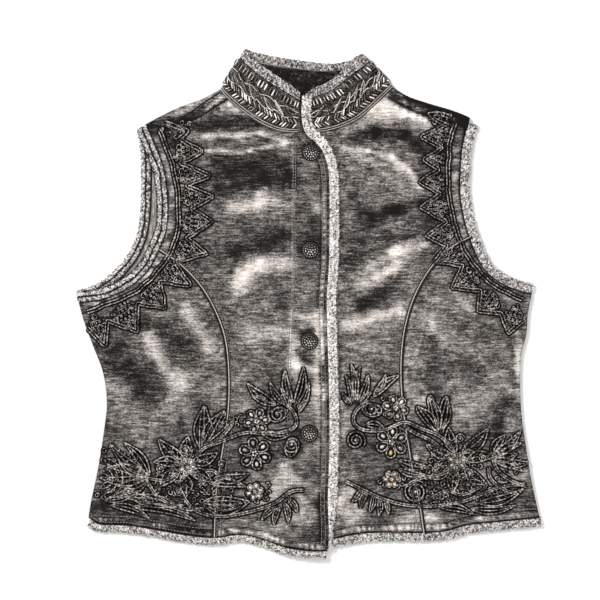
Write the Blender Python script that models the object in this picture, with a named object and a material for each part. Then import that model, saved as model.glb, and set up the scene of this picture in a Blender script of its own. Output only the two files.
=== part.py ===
"""A women's sleeveless denim vest with a stand collar, laid flat with its front up.

Each cut piece is one closed wall of cloth. X runs to the right as the vest is seen, Y runs up
towards the collar and Z up off the surface that it lies on. Right and left in the names are the
wearer's, so the right front lies at negative X and laps over the left front. Sizes are in
millimetres here and become metres where a mesh is made.
"""

import math

import bpy
import numpy as np
from mathutils import Vector
from mathutils.bvhtree import BVHTree
from mathutils.geometry import delaunay_2d_cdt

METRES = 0.001

# Cloth and the clearances between its layers
CLOTH = 1.8
TRIM_THICKNESS = 2.4
TRIM_HEIGHTS = (TRIM_THICKNESS / 2, TRIM_THICKNESS, TRIM_THICKNESS / 2)
SEAM_GAP = 0.3
TRIM_GAP = 0.4
FRONT_BASE = 2.7
OVERLAP_LIFT = 2.9
NECK_GAP = 0.8
GRID = 16.0
ROW_SHARE = 0.87
STAGGER = 0.25
RIM_CLEARANCE = 8.0
BACK_GRID = 400.0
RIM_SPACING = 10.0
CORNER_REACH = 15.0
SHORTEST_EDGE = 1.0
SHARP_ANGLE = 45.0

# Frayed trims
ARMHOLE_TRIM = 9.5
RIGHT_HEM_TRIM = 7.0
LEFT_HEM_TRIM = 8.5
BACK_HEM_INSET = 3.0
BACK_HEM_JOIN = 3
BACK_ARMHOLE_INSET = 1.5
FRONT_TRIM = 9.6
FRONT_TRIM_END = 3.6
FRONT_TRIM_NARROWS_FROM = -200.0
FRONT_TRIM_NARROWS_OVER = 50.0
COLLAR_TRIM = 9.4
COLLAR_SEAM = 0.8

# Puff and lap of the fronts
PUFF = 2.6
PUFF_REACH = 26.0
UNDERLAP_EDGE = -14.0
LAP_STARTS = -40.0
LAP_OVER = 22.0
PLACKET_MIDDLE = 4.0
PLACKET_CALM = 24.0
PLACKET_FADE = 26.0

# Cords sewn on the fronts
CORD_CLEARANCE = 0.45
BRAID_HALF_WIDTH = 1.5
BRAID_HEIGHT = 1.3
BRAID_STEP = 6.0
BRAID_CORNER = 2.2
NEAR = ((0, 0), (0.002, 0), (-0.002, 0), (0, 0.002), (0, -0.002))

# Buttons
BUTTON_RADIUS = 9.5
BUTTON_BEVEL = 0.7
BUTTON_RIM = 1.6
BUTTON_LIP = 1.0
BUTTON_DOME = 2.8
BUTTON_SIDES = 32
BUTTON_STEPS = 5
BUTTON_PLACES = ((2.0, 159.0), (1.5, 56.5), (0.5, -39.5), (0.5, -136.5))

# Outer edges with their trims, each as x, y down from the shoulder
RIGHT_SHOULDER = ((-94, 225), (-115, 214.5), (-136, 207), (-157, 197), (-181, 184))
LEFT_SHOULDER = ((90, 227), (105, 218), (127, 210.5), (149, 204), (168, 196.5), (178, 188))
RIGHT_FRONT_ARMHOLE = (
    (-181, 184), (-171, 161), (-162.5, 137), (-159, 105), (-160.5, 80), (-168, 60),
    (-179, 40), (-197, 24.5), (-220, 14.5), (-245, 11),
)
RIGHT_BACK_ARMHOLE = (
    (-181, 184), (-177.5, 158), (-176.5, 130), (-177.5, 100), (-181, 74), (-190, 53),
    (-205, 35), (-224, 20.5), (-245, 13),
)
LEFT_ARMHOLE = (
    (178, 188), (172, 167), (169.5, 140), (169.5, 113), (174, 88), (181, 66), (191, 44.5),
    (204, 32.5), (220, 24.5), (237, 20),
)
RIGHT_SIDE = (
    (-245, 10), (-237.5, -17.5), (-227, -46), (-217, -73), (-213, -104), (-216, -134),
    (-222.5, -175), (-229.5, -208), (-233.5, -233),
)
LEFT_SIDE = (
    (237, 20), (231, -8), (229, -32), (223.5, -55), (222.5, -86), (224, -118), (228.5, -150),
    (233.5, -182), (239.5, -210.5), (245, -234.5),
)
RIGHT_HEM = (
    (-233.5, -234), (-222, -240), (-190, -241.5), (-157, -247), (-120, -253), (-95, -254),
    (-75, -251), (-55, -254.5), (-25, -264.5), (0, -268), (18, -268.5),
)
LEFT_HEM = (
    (-14, -261), (20, -258), (54, -251.5), (85, -250), (117, -250.5), (145, -248.5),
    (170, -242), (200, -239), (245, -234.5),
)

# Seams between the centre and the side of each front, down from the armhole
RIGHT_PRINCESS = (
    (-172, 62), (-157, 55), (-133, 37.5), (-112, 14), (-97, -14), (-88.5, -42), (-85.5, -80),
    (-87, -118), (-94, -165), (-99, -200), (-101.5, -262),
)
LEFT_PRINCESS = (
    (186, 77), (170, 69), (145.5, 54.5), (124, 29.5), (108.5, -2), (100, -38), (98, -75.5),
    (101, -115), (108.5, -165), (117, -207), (125, -260),
)

# Middle of the trim down the right front's edge, from the collar's corner to the hem
FRONT_TRIM_MIDDLE = (
    (-2.5, 218), (-3, 196), (0.5, 182.5), (9, 174.5), (17, 165.5), (22.5, 153), (25.5, 138),
    (26.5, 110), (26, 46), (23.5, 0), (25.5, -75), (26.5, -134), (24.5, -207), (22, -258),
)
UNDERLAP = ((UNDERLAP_EDGE, -275), (UNDERLAP_EDGE, -50), (UNDERLAP_EDGE, 200))

# The collar from the right front round the back to the left front. Base height is the wall's
# middle, or None where it follows the front that it is sewn to.
# base_x, base_y, base_z, top_x, top_y, top_z
COLLAR_SECTIONS = (
    (-10.0, 180.3, None, -9.5, 221.5, 17.0),
    (-29.5, 181.5, None, -19.0, 229.5, 18.0),
    (-47.0, 188.0, None, -32.5, 238.5, 17.5),
    (-62.0, 197.0, None, -46.5, 248.0, 15.5),
    (-77.0, 208.5, None, -58.0, 257.5, 12.5),
    (-88.0, 218.5, 4.4, -64.5, 264.0, 9.0),
    (-92.0, 225.5, 2.7, -66.5, 268.0, 4.8),
    (-85.0, 224.0, 0.9, -60.0, 266.0, 0.9),
    (-66.0, 217.5, 0.9, -36.0, 260.5, 0.9),
    (-20.0, 212.0, 0.9, -9.5, 256.5, 0.9),
    (22.0, 212.0, 0.9, 20.0, 253.0, 0.9),
    (63.0, 218.0, 0.9, 42.0, 256.0, 0.9),
    (81.0, 225.5, 0.9, 50.0, 261.0, 0.9),
    (87.5, 228.5, 2.7, 56.5, 262.5, 4.8),
    (84.0, 224.0, 4.4, 55.0, 259.0, 8.5),
    (69.0, 209.5, None, 42.0, 251.0, 12.0),
    (54.5, 196.5, None, 30.5, 241.5, 14.0),
    (38.5, 188.0, None, 20.0, 233.0, 14.5),
    (18.0, 181.8, None, 8.0, 228.0, 13.8),
    (-5.5, 180.0, None, -3.5, 222.0, 12.8),
)
COLLAR_STEPS = 3
COLLAR_ROWS = 5
COLLAR_BULGE = 1.6
COLLAR_HEIGHT = 45.0
COLLAR_FRONT_ROWS = 6
COLLAR_FOLD_HEIGHT = 3.5
COLLAR_FRONT_BASE_Y = 177.0
COLLAR_FRONT_TOP = (221.5, 16.0)

# Soft ridges of the fronts, or troughs where the rise is negative, each along a straight crease.
# from_x, from_y, to_x, to_y, half_width, rise
FOLDS = (
    (-108, 176, -40, 170, 7, 1.6),
    (-112, 158, -30, 162, 8, 2.4),
    (-94, 130, -30, 134, 14, -1.6),
    (-84, 100, -28, 106, 12, 3.2),
    (-76, 66, -28, 70, 13, -1.6),
    (-88, 22, -28, 34, 15, 3.8),
    (-62, -32, -32, -28, 11, 2.2),
    (-122, -20, -104, -62, 13, 3.6),
    (-160, -46, -138, -104, 15, 3.4),
    (-196, -50, -170, -96, 14, -2.0),
    (-206, -140, -150, -128, 15, 2.2),
    (-78, -70, -40, -96, 16, -1.8),
    (-74, -150, -44, -214, 15, 2.2),
    (-196, -208, -130, -224, 12, 2.0),
    (62, 188, 118, 196, 11, 2.6),
    (46, 166, 110, 156, 12, -1.8),
    (40, 152, 104, 138, 8, 2.6),
    (64, 92, 112, 98, 14, -1.8),
    (70, 56, 120, 48, 12, 3.2),
    (58, 34, 98, 22, 13, 3.4),
    (44, -8, 88, -20, 13, 2.8),
    (118, -20, 128, -92, 15, 2.6),
    (176, -34, 158, -104, 15, 3.2),
    (206, -78, 196, -140, 13, -2.2),
    (48, -160, 72, -226, 14, 2.6),
    (150, -196, 214, -206, 12, 2.0),
)

# Points of the zigzag braids, down from the shoulder: first a point near the armhole, then one
# towards the middle of the front.
# near_x, near_y, far_x, far_y
RIGHT_ZIGZAG = (
    (-136, 173, -112, 160), (-135, 148, -105.5, 134.5), (-128.5, 124, -101.5, 112.5),
    (-124, 100, -102.5, 86), (-128.5, 69, -108.5, 52), (-141, 44, -125.5, 19.5),
    (-156.5, 23, -152, -4.5), (-180, 0, -181.5, -29), (-212, -18, -215, -44),
)
LEFT_ZIGZAG = (
    (146, 189.5, 119, 175.5), (140, 163.5, 121.5, 151.5), (136, 141, 117, 128),
    (138, 115.5, 118, 101), (144.5, 86, 123.5, 71), (145.5, 61, 132, 44),
    (161.5, 40, 151, 16.5), (180.5, 14, 178.5, -8), (201.5, -10, 210, -31),
)
RIGHT_ZIGZAG_END = (-233, -26)
LEFT_ZIGZAG_END = (225, -18)
RIGHT_ARMHOLE_BRAID = (
    (-157, 183), (-148, 158), (-141.5, 136), (-137.5, 108), (-138.5, 76), (-146, 54), (-162, 32),
    (-182, 13), (-208, 1), (-234, -9),
)
LEFT_ARMHOLE_BRAID = (
    (154, 190), (148.5, 172), (146.5, 141), (147.5, 110), (153.5, 82), (163, 57), (178, 35),
    (196, 18), (226, 4),
)


def smooth(knots, spacing=RIM_SPACING):
    """Points about a spacing apart on a Catmull-Rom curve through the knots."""
    knots = np.asarray(knots, float)
    reach = np.vstack([2 * knots[0] - knots[1], knots, 2 * knots[-1] - knots[-2]])
    stretches = []
    for before, start, end, after in zip(reach, reach[1:], reach[2:], reach[3:]):
        count = max(1, round(np.linalg.norm(end - start) / spacing))
        t = np.linspace(0, 1, count, endpoint=False)[:, None]
        cubic = 3 * (start - end) + after - before
        square = 2 * before - 5 * start + 4 * end - after
        stretches.append(start + 0.5 * t * (end - before + t * (square + t * cubic)))
    return np.vstack([*stretches, knots[-1:]])


def sideways(path):
    """Unit vectors in plan that point to the left of the path at each of its points."""
    along = np.gradient(path[:, :2], axis=0)
    left = np.stack([-along[:, 1], along[:, 0]], axis=1)
    return left / np.linalg.norm(left, axis=1, keepdims=True)


def offset(path, distance):
    """The path moved to its left in plan, or to its right where the distance is negative."""
    return path[:, :2] + np.asarray(distance)[..., None] * sideways(path)


def crossing(a, b):
    """The last place where path a crosses path b, as (segment of a, segment of b, point)."""
    for i in range(len(a) - 2, -1, -1):
        for j in range(len(b) - 1):
            r, s, gap = a[i + 1] - a[i], b[j + 1] - b[j], b[j] - a[i]
            turn = r[0] * s[1] - r[1] * s[0]
            if abs(turn) < 1e-9:
                continue
            t = (gap[0] * s[1] - gap[1] * s[0]) / turn
            u = (gap[0] * r[1] - gap[1] * r[0]) / turn
            if 0 <= t <= 1 and 0 <= u <= 1:
                return i, j, a[i] + t * r
    return None


def lengthened(path):
    """The path carried straight on past its last point."""
    along = path[-1] - path[-2]
    return np.vstack([path, path[-1] + CORNER_REACH * along / np.linalg.norm(along)])


def outline(*edges):
    """One anticlockwise loop from edges that follow each other, cut where two of them cross."""
    edges = [np.asarray(edge, float)[:, :2] for edge in edges]
    for i in range(len(edges)):
        j = (i + 1) % len(edges)
        ending, starting = lengthened(edges[i]), lengthened(edges[j][::-1])[::-1]
        met = crossing(ending, starting)
        if met:
            last, first, point = met
            edges[i] = np.vstack([ending[: last + 1], point])
            edges[j] = np.vstack([point, starting[first + 1 :]])
    loop = np.vstack(edges)
    loop = loop[np.linalg.norm(loop - np.roll(loop, 1, axis=0), axis=1) > SHORTEST_EDGE]
    x, y = loop.T
    area = np.sum(x * np.roll(y, -1) - y * np.roll(x, -1))
    return loop if area > 0 else loop[::-1]


def distance(points, path):
    """How far each point lies from the path in plan."""
    points = np.asarray(points, float)[:, None, :2]
    start, step = path[None, :-1, :2], np.diff(path[:, :2], axis=0)[None]
    along = np.sum((points - start) * step, axis=2) / np.sum(step * step, axis=2)
    nearest = start + np.clip(along, 0, 1)[..., None] * step
    return np.linalg.norm(points - nearest, axis=2).min(axis=1)


def inside(points, loop):
    """Whether each point lies inside the loop."""
    x, y = points[:, 0, None], points[:, 1, None]
    x0, y0 = loop.T
    x1, y1 = np.roll(loop, -1, axis=0).T
    spans = (y0 > y) != (y1 > y)
    rise = np.where(y1 == y0, 1e-12, y1 - y0)
    return (spans & (x < x0 + (y - y0) * (x1 - x0) / rise)).sum(axis=1) % 2 == 1


def ease(value):
    """A soft step from 0 to 1 as the value goes from 0 to 1."""
    value = np.clip(value, 0, 1)
    return value * value * (3 - 2 * value)


def even(sections):
    """The sections joined by a smooth curve, with the same number of steps between each two."""
    knots = np.asarray(sections, float)
    reach = np.vstack([2 * knots[0] - knots[1], knots, 2 * knots[-1] - knots[-2]])
    t = np.linspace(0, 1, COLLAR_STEPS, endpoint=False)[:, None]
    stretches = []
    for before, start, end, after in zip(reach, reach[1:], reach[2:], reach[3:]):
        chord = np.linalg.norm(end - start)
        enter = chord * (end - before) / np.linalg.norm(end - before)
        leave = chord * (after - start) / np.linalg.norm(after - start)
        stretches.append(
            (2 * t**3 - 3 * t**2 + 1) * start + (t**3 - 2 * t**2 + t) * enter
            + (3 * t**2 - 2 * t**3) * end + (t**3 - t**2) * leave
        )
    return np.vstack([*stretches, knots[-1:]])


NECK = even([row[:2] for row in COLLAR_SECTIONS])
FRONT_NECK_POINTS = COLLAR_FRONT_ROWS * COLLAR_STEPS
RIGHT_NECK = NECK[: FRONT_NECK_POINTS + 1]
LEFT_NECK = NECK[-FRONT_NECK_POINTS - 1 :]
BACK_NECK = NECK[FRONT_NECK_POINTS:-FRONT_NECK_POINTS]
FRONT_EDGES = [smooth(edge) for edge in (
    RIGHT_SHOULDER, LEFT_SHOULDER, RIGHT_FRONT_ARMHOLE, LEFT_ARMHOLE,
    RIGHT_SIDE, LEFT_SIDE, RIGHT_HEM, LEFT_HEM,
)] + [RIGHT_NECK, LEFT_NECK]


def puff(points):
    """How far the front's cloth stands off its base at each point."""
    points = np.asarray(points, float)[:, :2]
    edge = np.min([distance(points, path) for path in FRONT_EDGES], axis=0)
    ridges = np.zeros(len(points))
    for from_x, from_y, to_x, to_y, half_width, rise in FOLDS:
        crease = np.array([[from_x, from_y], [to_x, to_y]], float)
        ridges += rise * np.exp(-((distance(points, crease) / half_width) ** 2))
    calm = ease((np.abs(points[:, 0] - PLACKET_MIDDLE) - PLACKET_CALM) / PLACKET_FADE)
    rounded = PUFF * (1 - np.exp(-((edge / PUFF_REACH) ** 2)))
    return np.maximum(rounded + calm * ease(edge / PUFF_REACH) * ridges, 0.0)


def left_underside(points):
    """Height of the left front's underside."""
    return FRONT_BASE + puff(points)


def right_underside(points):
    """Height of the right front's underside, which climbs onto the left front's edge."""
    points = np.asarray(points, float)
    lap = ease((points[:, 0] - LAP_STARTS) / LAP_OVER)
    return left_underside(points) + OVERLAP_LIFT * lap


def floor_underside(points):
    """The back lies flat."""
    return np.zeros(len(points))


def build(name, points, faces, material):
    """An object from points in millimetres, shaded smooth but for its sharp rims."""
    mesh = bpy.data.meshes.new(name)
    mesh.from_pydata((np.asarray(points) * METRES).tolist(), [], faces)
    mesh.materials.append(material)
    mesh.shade_smooth()
    mesh.set_sharp_from_angle(angle=math.radians(SHARP_ANGLE))
    obj = bpy.data.objects.new(name, mesh)
    bpy.context.scene.collection.objects.link(obj)
    return obj


def panel(name, loop, underside, material, grid=GRID):
    """A wall of cloth over the loop, whose underside is a function of the place."""
    low, high = loop.min(axis=0), loop.max(axis=0)
    x, y = np.meshgrid(np.arange(low[0], high[0], grid),
                       np.arange(low[1] + grid / 2, high[1], grid * ROW_SHARE))
    x = x + grid * (STAGGER + (np.arange(len(x)) % 2) / 2)[:, None]
    lattice = np.stack([x.ravel(), y.ravel()], axis=1)
    closed = np.vstack([loop, loop[:1]])
    lattice = lattice[inside(lattice, loop) & (distance(lattice, closed) > RIM_CLEARANCE)]
    count = len(loop)
    plan, _, triangles, *_ = delaunay_2d_cdt(
        [Vector(p) for p in np.vstack([loop, lattice])], [], [list(range(count))], 1, 1e-4
    )
    plan = np.array([tuple(p) for p in plan])
    size = len(plan)
    under = underside(plan)
    points = np.vstack([np.c_[plan, under], np.c_[plan, under + CLOTH]])
    faces = [tuple(i + size for i in face) for face in triangles]
    faces += [tuple(reversed(face)) for face in triangles]
    faces += [(i, (i + 1) % count, (i + 1) % count + size, i + size) for i in range(count)]
    return build(name, points, faces, material)


def wall(name, lower, upper, material):
    """A closed wall between two grids of the same size, the upper one on its outer side."""
    rows, columns = lower.shape[:2]
    size = rows * columns
    index = np.arange(size).reshape(rows, columns)
    faces = []
    for i in range(rows - 1):
        for j in range(columns - 1):
            corners = (index[i, j], index[i, j + 1], index[i + 1, j + 1], index[i + 1, j])
            faces.append(tuple(int(c) for c in reversed(corners)))
            faces.append(tuple(int(c) + size for c in corners))
    rim = [*index[0], *index[1:, -1], *index[-1, -2::-1], *index[-2:0:-1, 0]]
    for a, b in zip(rim, rim[1:] + rim[:1]):
        faces.append((int(a), int(b), int(b) + size, int(a) + size))
    points = np.vstack([lower.reshape(-1, 3), upper.reshape(-1, 3)])
    return build(name, points, faces, material)


def strip(name, path, reaches, underside, heights, material):
    """A flat strip along a path in plan.

    Its columns lie to the path's left by the reaches, largest first, each with its own height.
    """
    left = sideways(path)
    lower, upper = [], []
    for reach, thickness in zip(reaches, heights):
        place = path + np.broadcast_to(reach, len(path))[:, None] * left
        base = underside(place)
        lower.append(np.c_[place, base])
        upper.append(np.c_[place, base + thickness])
    return wall(name, np.array(lower).swapaxes(0, 1), np.array(upper).swapaxes(0, 1), material)


def edge_trim(name, outer, width, inward, underside, material):
    """A frayed strip inside an outer edge. Inward is 1 where the cloth lies to its left."""
    reaches = sorted((0.0, inward * width / 2, inward * width), reverse=True)
    return strip(name, outer, reaches, underside, TRIM_HEIGHTS, material)


def collar_middle():
    """The collar's middle surface as a grid: along the neck, then from its base to its top."""
    base, top = [], []
    for i, (x, y, z, top_x, top_y, top_z) in enumerate(COLLAR_SECTIONS):
        if z is None:
            sewn_to = right_underside if i < COLLAR_FRONT_ROWS else left_underside
            z = float(sewn_to([(x, y)])[0]) + CLOTH / 2
        base.append((x, y, z))
        top.append((top_x, top_y, top_z))
    share = np.linspace(0, 1, COLLAR_ROWS)[:, None]
    grid = even(base)[:, None] * (1 - share) + even(top)[:, None] * share
    rise = COLLAR_BULGE * np.sin(math.pi * share[:, 0])
    grid[..., 2] += np.where(grid[..., 2] > COLLAR_FOLD_HEIGHT, rise, 0.0)
    return grid


def collar_rows(grid, first, last, count):
    """The collar's grid read again between two shares of its height."""
    place = np.linspace(first, last, count) * (COLLAR_ROWS - 1)
    low = np.minimum(place.astype(int), COLLAR_ROWS - 2)
    part = (place - low)[:, None]
    return grid[:, low] * (1 - part) + grid[:, low + 1] * part


def thicken(name, middle, thickness, material):
    """A wall of even thickness about a middle grid, with nothing below the floor."""
    along, across = np.gradient(middle, axis=0), np.gradient(middle, axis=1)
    normal = np.cross(across, along)
    normal /= np.linalg.norm(normal, axis=2, keepdims=True)
    outer, inner = middle + normal * thickness / 2, middle - normal * thickness / 2
    for side in (outer, inner):
        side[..., 2] = np.maximum(side[..., 2], 0.0)
    return wall(name, inner, outer, material)


def collar(denim, frayed):
    """The stand collar as one folded wall, and the frayed trim along its top."""
    grid = collar_middle()
    cut = 1 - COLLAR_TRIM / COLLAR_HEIGHT
    seam = COLLAR_SEAM / COLLAR_HEIGHT
    thicken("collar", collar_rows(grid, 0, cut, 4), CLOTH, denim)
    thicken("collar_trim", collar_rows(grid, cut + seam, 1, 3), TRIM_THICKNESS, frayed)


def zigzag(rows, end):
    """A braid's path through alternate near and far points, its corners cut short."""
    corners = [point for row in rows for point in (row[:2], row[2:])] + [end]
    path = []
    for start, stop in zip(np.asarray(corners, float), np.asarray(corners[1:], float)):
        length = np.linalg.norm(stop - start)
        steps = max(2, round(length / BRAID_STEP))
        share = np.linspace(BRAID_CORNER / length, 1 - BRAID_CORNER / length, steps)
        path.append(start + share[:, None] * (stop - start))
    return np.vstack(path)


def resting_on(*panels):
    """A function that gives the height of whichever panel a place lies on, plus a clearance."""
    trees = [BVHTree.FromPolygons([v.co for v in p.data.vertices],
                                  [f.vertices for f in p.data.polygons]) for p in panels]
    above = 0.1

    def height(points):
        """The panels' faceted top at each place, with neighbours taken in at a seam."""
        found = []
        for x, y in np.asarray(points)[:, :2] * METRES:
            tops = []
            for dx, dy in NEAR:
                for tree in trees:
                    hit = tree.ray_cast(Vector((x + dx, y + dy, above)), Vector((0, 0, -1)))[0]
                    if hit:
                        tops.append(hit.z / METRES)
            found.append(max(tops) + CORD_CLEARANCE)
        return np.array(found)

    return height


def braid(name, path, underside, cord):
    """A sewn-on braid that follows the cloth under it."""
    reaches = (BRAID_HALF_WIDTH, -BRAID_HALF_WIDTH)
    return strip(name, path, reaches, underside, (BRAID_HEIGHT, BRAID_HEIGHT), cord)


def button_mesh(material):
    """A domed metal button, turned about its own axis, with its flat back at height 0."""
    rise = np.linspace(0, math.pi / 2, BUTTON_STEPS)
    profile = [(BUTTON_RADIUS - BUTTON_BEVEL, 0.0), (BUTTON_RADIUS, BUTTON_BEVEL),
               (BUTTON_RADIUS, BUTTON_RIM)]
    dome = BUTTON_RADIUS - BUTTON_LIP
    profile += [(dome * math.cos(a), BUTTON_RIM + BUTTON_DOME * math.sin(a)) for a in rise[:-1]]
    points, faces = [], []
    for radius, z in profile:
        for turn in np.linspace(0, 2 * math.pi, BUTTON_SIDES, endpoint=False):
            points.append((radius * math.cos(turn), radius * math.sin(turn), z))
    for ring in range(len(profile) - 1):
        for i in range(BUTTON_SIDES):
            a, b = ring * BUTTON_SIDES + i, ring * BUTTON_SIDES + (i + 1) % BUTTON_SIDES
            faces.append((a, b, b + BUTTON_SIDES, a + BUTTON_SIDES))
    faces.append(tuple(reversed(range(BUTTON_SIDES))))
    points.append((0.0, 0.0, BUTTON_RIM + BUTTON_DOME))
    last = (len(profile) - 1) * BUTTON_SIDES
    faces += [(last + i, last + (i + 1) % BUTTON_SIDES, len(points) - 1)
              for i in range(BUTTON_SIDES)]
    mesh = bpy.data.meshes.new("button")
    mesh.from_pydata((np.array(points) * METRES).tolist(), [], faces)
    mesh.materials.append(material)
    mesh.shade_smooth()
    mesh.set_sharp_from_angle(angle=math.radians(SHARP_ANGLE))
    return mesh


def material(name, colour, roughness, metallic=0.0):
    """A Principled material with one colour."""
    made = bpy.data.materials.new(name)
    made.use_nodes = True
    shader = made.node_tree.nodes["Principled BSDF"]
    shader.inputs["Base Color"].default_value = (*colour, 1)
    shader.inputs["Roughness"].default_value = roughness
    shader.inputs["Metallic"].default_value = metallic
    made.diffuse_color = (*colour, 1)
    return made


def front_trim_half_width(middle):
    """Half the front trim's width, which narrows above the hem."""
    below = ease((FRONT_TRIM_NARROWS_FROM - middle[:, 1]) / FRONT_TRIM_NARROWS_OVER)
    return (FRONT_TRIM * (1 - below) + FRONT_TRIM_END * below) / 2


def front_trim_underside(points):
    """The right front's underside, which climbs the collar's front edge."""
    top_y, top_z = COLLAR_FRONT_TOP
    points = np.asarray(points)
    climb = np.clip((points[:, 1] - COLLAR_FRONT_BASE_Y) / (top_y - COLLAR_FRONT_BASE_Y), 0, 1)
    return right_underside(points) * (1 - climb) + top_z * climb


def fronts(denim):
    """The centre and side panels of the right front and of the left front."""
    half = SEAM_GAP / 2
    right_armhole = offset(smooth(RIGHT_FRONT_ARMHOLE), ARMHOLE_TRIM + TRIM_GAP)
    left_armhole = offset(smooth(LEFT_ARMHOLE), -ARMHOLE_TRIM - TRIM_GAP)
    right_hem = offset(smooth(RIGHT_HEM), RIGHT_HEM_TRIM + TRIM_GAP)
    left_hem = offset(smooth(LEFT_HEM), LEFT_HEM_TRIM + TRIM_GAP)
    right_seam, left_seam = smooth(RIGHT_PRINCESS), smooth(LEFT_PRINCESS)
    trim = smooth(FRONT_TRIM_MIDDLE)
    right_edge = offset(trim, -front_trim_half_width(trim) - TRIM_GAP)
    right_neck, left_neck = offset(RIGHT_NECK, NECK_GAP), offset(LEFT_NECK, NECK_GAP)
    right = [
        panel(
            "front_right_centre",
            outline(offset(right_seam, half)[::-1], right_armhole[::-1],
                    smooth(RIGHT_SHOULDER)[::-1], right_neck[::-1], right_edge,
                    right_hem[::-1]),
            right_underside, denim,
        ),
        panel(
            "front_right_side",
            outline(right_armhole[::-1], offset(right_seam, -half), right_hem[::-1],
                    smooth(RIGHT_SIDE)[::-1]),
            right_underside, denim,
        ),
    ]
    left = [
        panel(
            "front_left_centre",
            outline(smooth(UNDERLAP)[::-1], left_hem, offset(left_seam, -half)[::-1],
                    left_armhole[::-1], smooth(LEFT_SHOULDER)[::-1], left_neck),
            left_underside, denim,
        ),
        panel(
            "front_left_side",
            outline(offset(left_seam, half), left_hem, smooth(LEFT_SIDE)[::-1],
                    left_armhole[::-1]),
            left_underside, denim,
        ),
    ]
    return right, left


def back(denim, frayed):
    """The back, flat on the surface, with the trims of its armholes and hem."""
    hem = np.vstack([smooth(RIGHT_HEM)[:-BACK_HEM_JOIN], smooth(LEFT_HEM)[BACK_HEM_JOIN:]])
    hem = offset(hem, BACK_HEM_INSET)
    right_armhole = smooth(RIGHT_BACK_ARMHOLE)
    left_armhole = offset(smooth(LEFT_ARMHOLE), -BACK_ARMHOLE_INSET)
    panel(
        "back",
        outline(offset(BACK_NECK, -SEAM_GAP), smooth(LEFT_SHOULDER),
                offset(left_armhole, -ARMHOLE_TRIM - TRIM_GAP), smooth(LEFT_SIDE),
                offset(hem, RIGHT_HEM_TRIM + TRIM_GAP)[::-1], smooth(RIGHT_SIDE)[::-1],
                offset(right_armhole, ARMHOLE_TRIM + TRIM_GAP)[::-1],
                smooth(RIGHT_SHOULDER)[::-1]),
        floor_underside, denim, grid=BACK_GRID,
    )
    edge_trim("armhole_trim_right_back", right_armhole, ARMHOLE_TRIM, 1, floor_underside, frayed)
    edge_trim("armhole_trim_left_back", left_armhole, ARMHOLE_TRIM, -1, floor_underside, frayed)
    edge_trim("hem_trim_back", hem, RIGHT_HEM_TRIM, 1, floor_underside, frayed)


def front_trims(frayed):
    """The frayed trims on the fronts' armholes, hems and overlapping edge."""
    edge_trim("armhole_trim_right_front", smooth(RIGHT_FRONT_ARMHOLE), ARMHOLE_TRIM, 1,
              right_underside, frayed)
    edge_trim("armhole_trim_left_front", smooth(LEFT_ARMHOLE), ARMHOLE_TRIM, -1,
              left_underside, frayed)
    edge_trim("hem_trim_right", smooth(RIGHT_HEM), RIGHT_HEM_TRIM, 1, right_underside, frayed)
    edge_trim("hem_trim_left", smooth(LEFT_HEM), LEFT_HEM_TRIM, 1, left_underside, frayed)
    middle = smooth(FRONT_TRIM_MIDDLE)
    half_width = front_trim_half_width(middle)
    strip("front_trim", middle, (half_width, 0.0, -half_width), front_trim_underside,
          TRIM_HEIGHTS, frayed)


def braids(right, left, cord):
    """The braids sewn round both armholes: one along the armhole, and one in a zigzag."""
    sewn = (
        ("right", resting_on(*right), RIGHT_ARMHOLE_BRAID, RIGHT_ZIGZAG, RIGHT_ZIGZAG_END),
        ("left", resting_on(*left), LEFT_ARMHOLE_BRAID, LEFT_ZIGZAG, LEFT_ZIGZAG_END),
    )
    for side, height, armhole, rows, end in sewn:
        braid(f"armhole_braid_{side}", smooth(armhole, BRAID_STEP), height, cord)
        braid(f"zigzag_braid_{side}", zigzag(rows, end), height, cord)


def buttons(front, metal):
    """Four buttons down the right front, each on the highest cloth under its flat back."""
    mesh = button_mesh(metal)
    height = resting_on(front)
    turns = np.linspace(0, 2 * math.pi, 16, endpoint=False)
    ring = BUTTON_RADIUS * np.stack([np.cos(turns), np.sin(turns)], axis=1)
    for number, (x, y) in enumerate(BUTTON_PLACES, start=1):
        under = np.vstack([ring, ring / 2, [(0, 0)]]) + (x, y)
        obj = bpy.data.objects.new(f"button_{number}", mesh)
        bpy.context.scene.collection.objects.link(obj)
        obj.location = np.array((x, y, height(under).max())) * METRES


def main():
    """Clears the scene and builds the vest."""
    for obj in list(bpy.data.objects):
        bpy.data.objects.remove(obj)
    denim = material("denim", (0.15, 0.14, 0.13), 0.9)
    frayed = material("frayed_denim", (0.46, 0.44, 0.42), 0.95)
    cord = material("cord", (0.05, 0.045, 0.042), 0.8)
    metal = material("button_metal", (0.22, 0.21, 0.2), 0.4, 1.0)
    back(denim, frayed)
    right, left = fronts(denim)
    collar(denim, frayed)
    front_trims(frayed)
    braids(right, left, cord)
    buttons(right[0], metal)


if __name__ == "__main__":
    main()
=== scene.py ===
"""Dresses a women's sleeveless denim vest that lies flat with its front up.

Washed denim panels, frayed trims, cord work, embroidery with beads, stitching and domed metal
buttons go over the solids. Sizes are in millimetres, in the solids' frame, and become metres
where a mesh is made. Right and left in the names are the wearer's.
"""

import logging
import math
from dataclasses import dataclass, field
from enum import Enum
from typing import Callable, Iterable, Sequence

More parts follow.
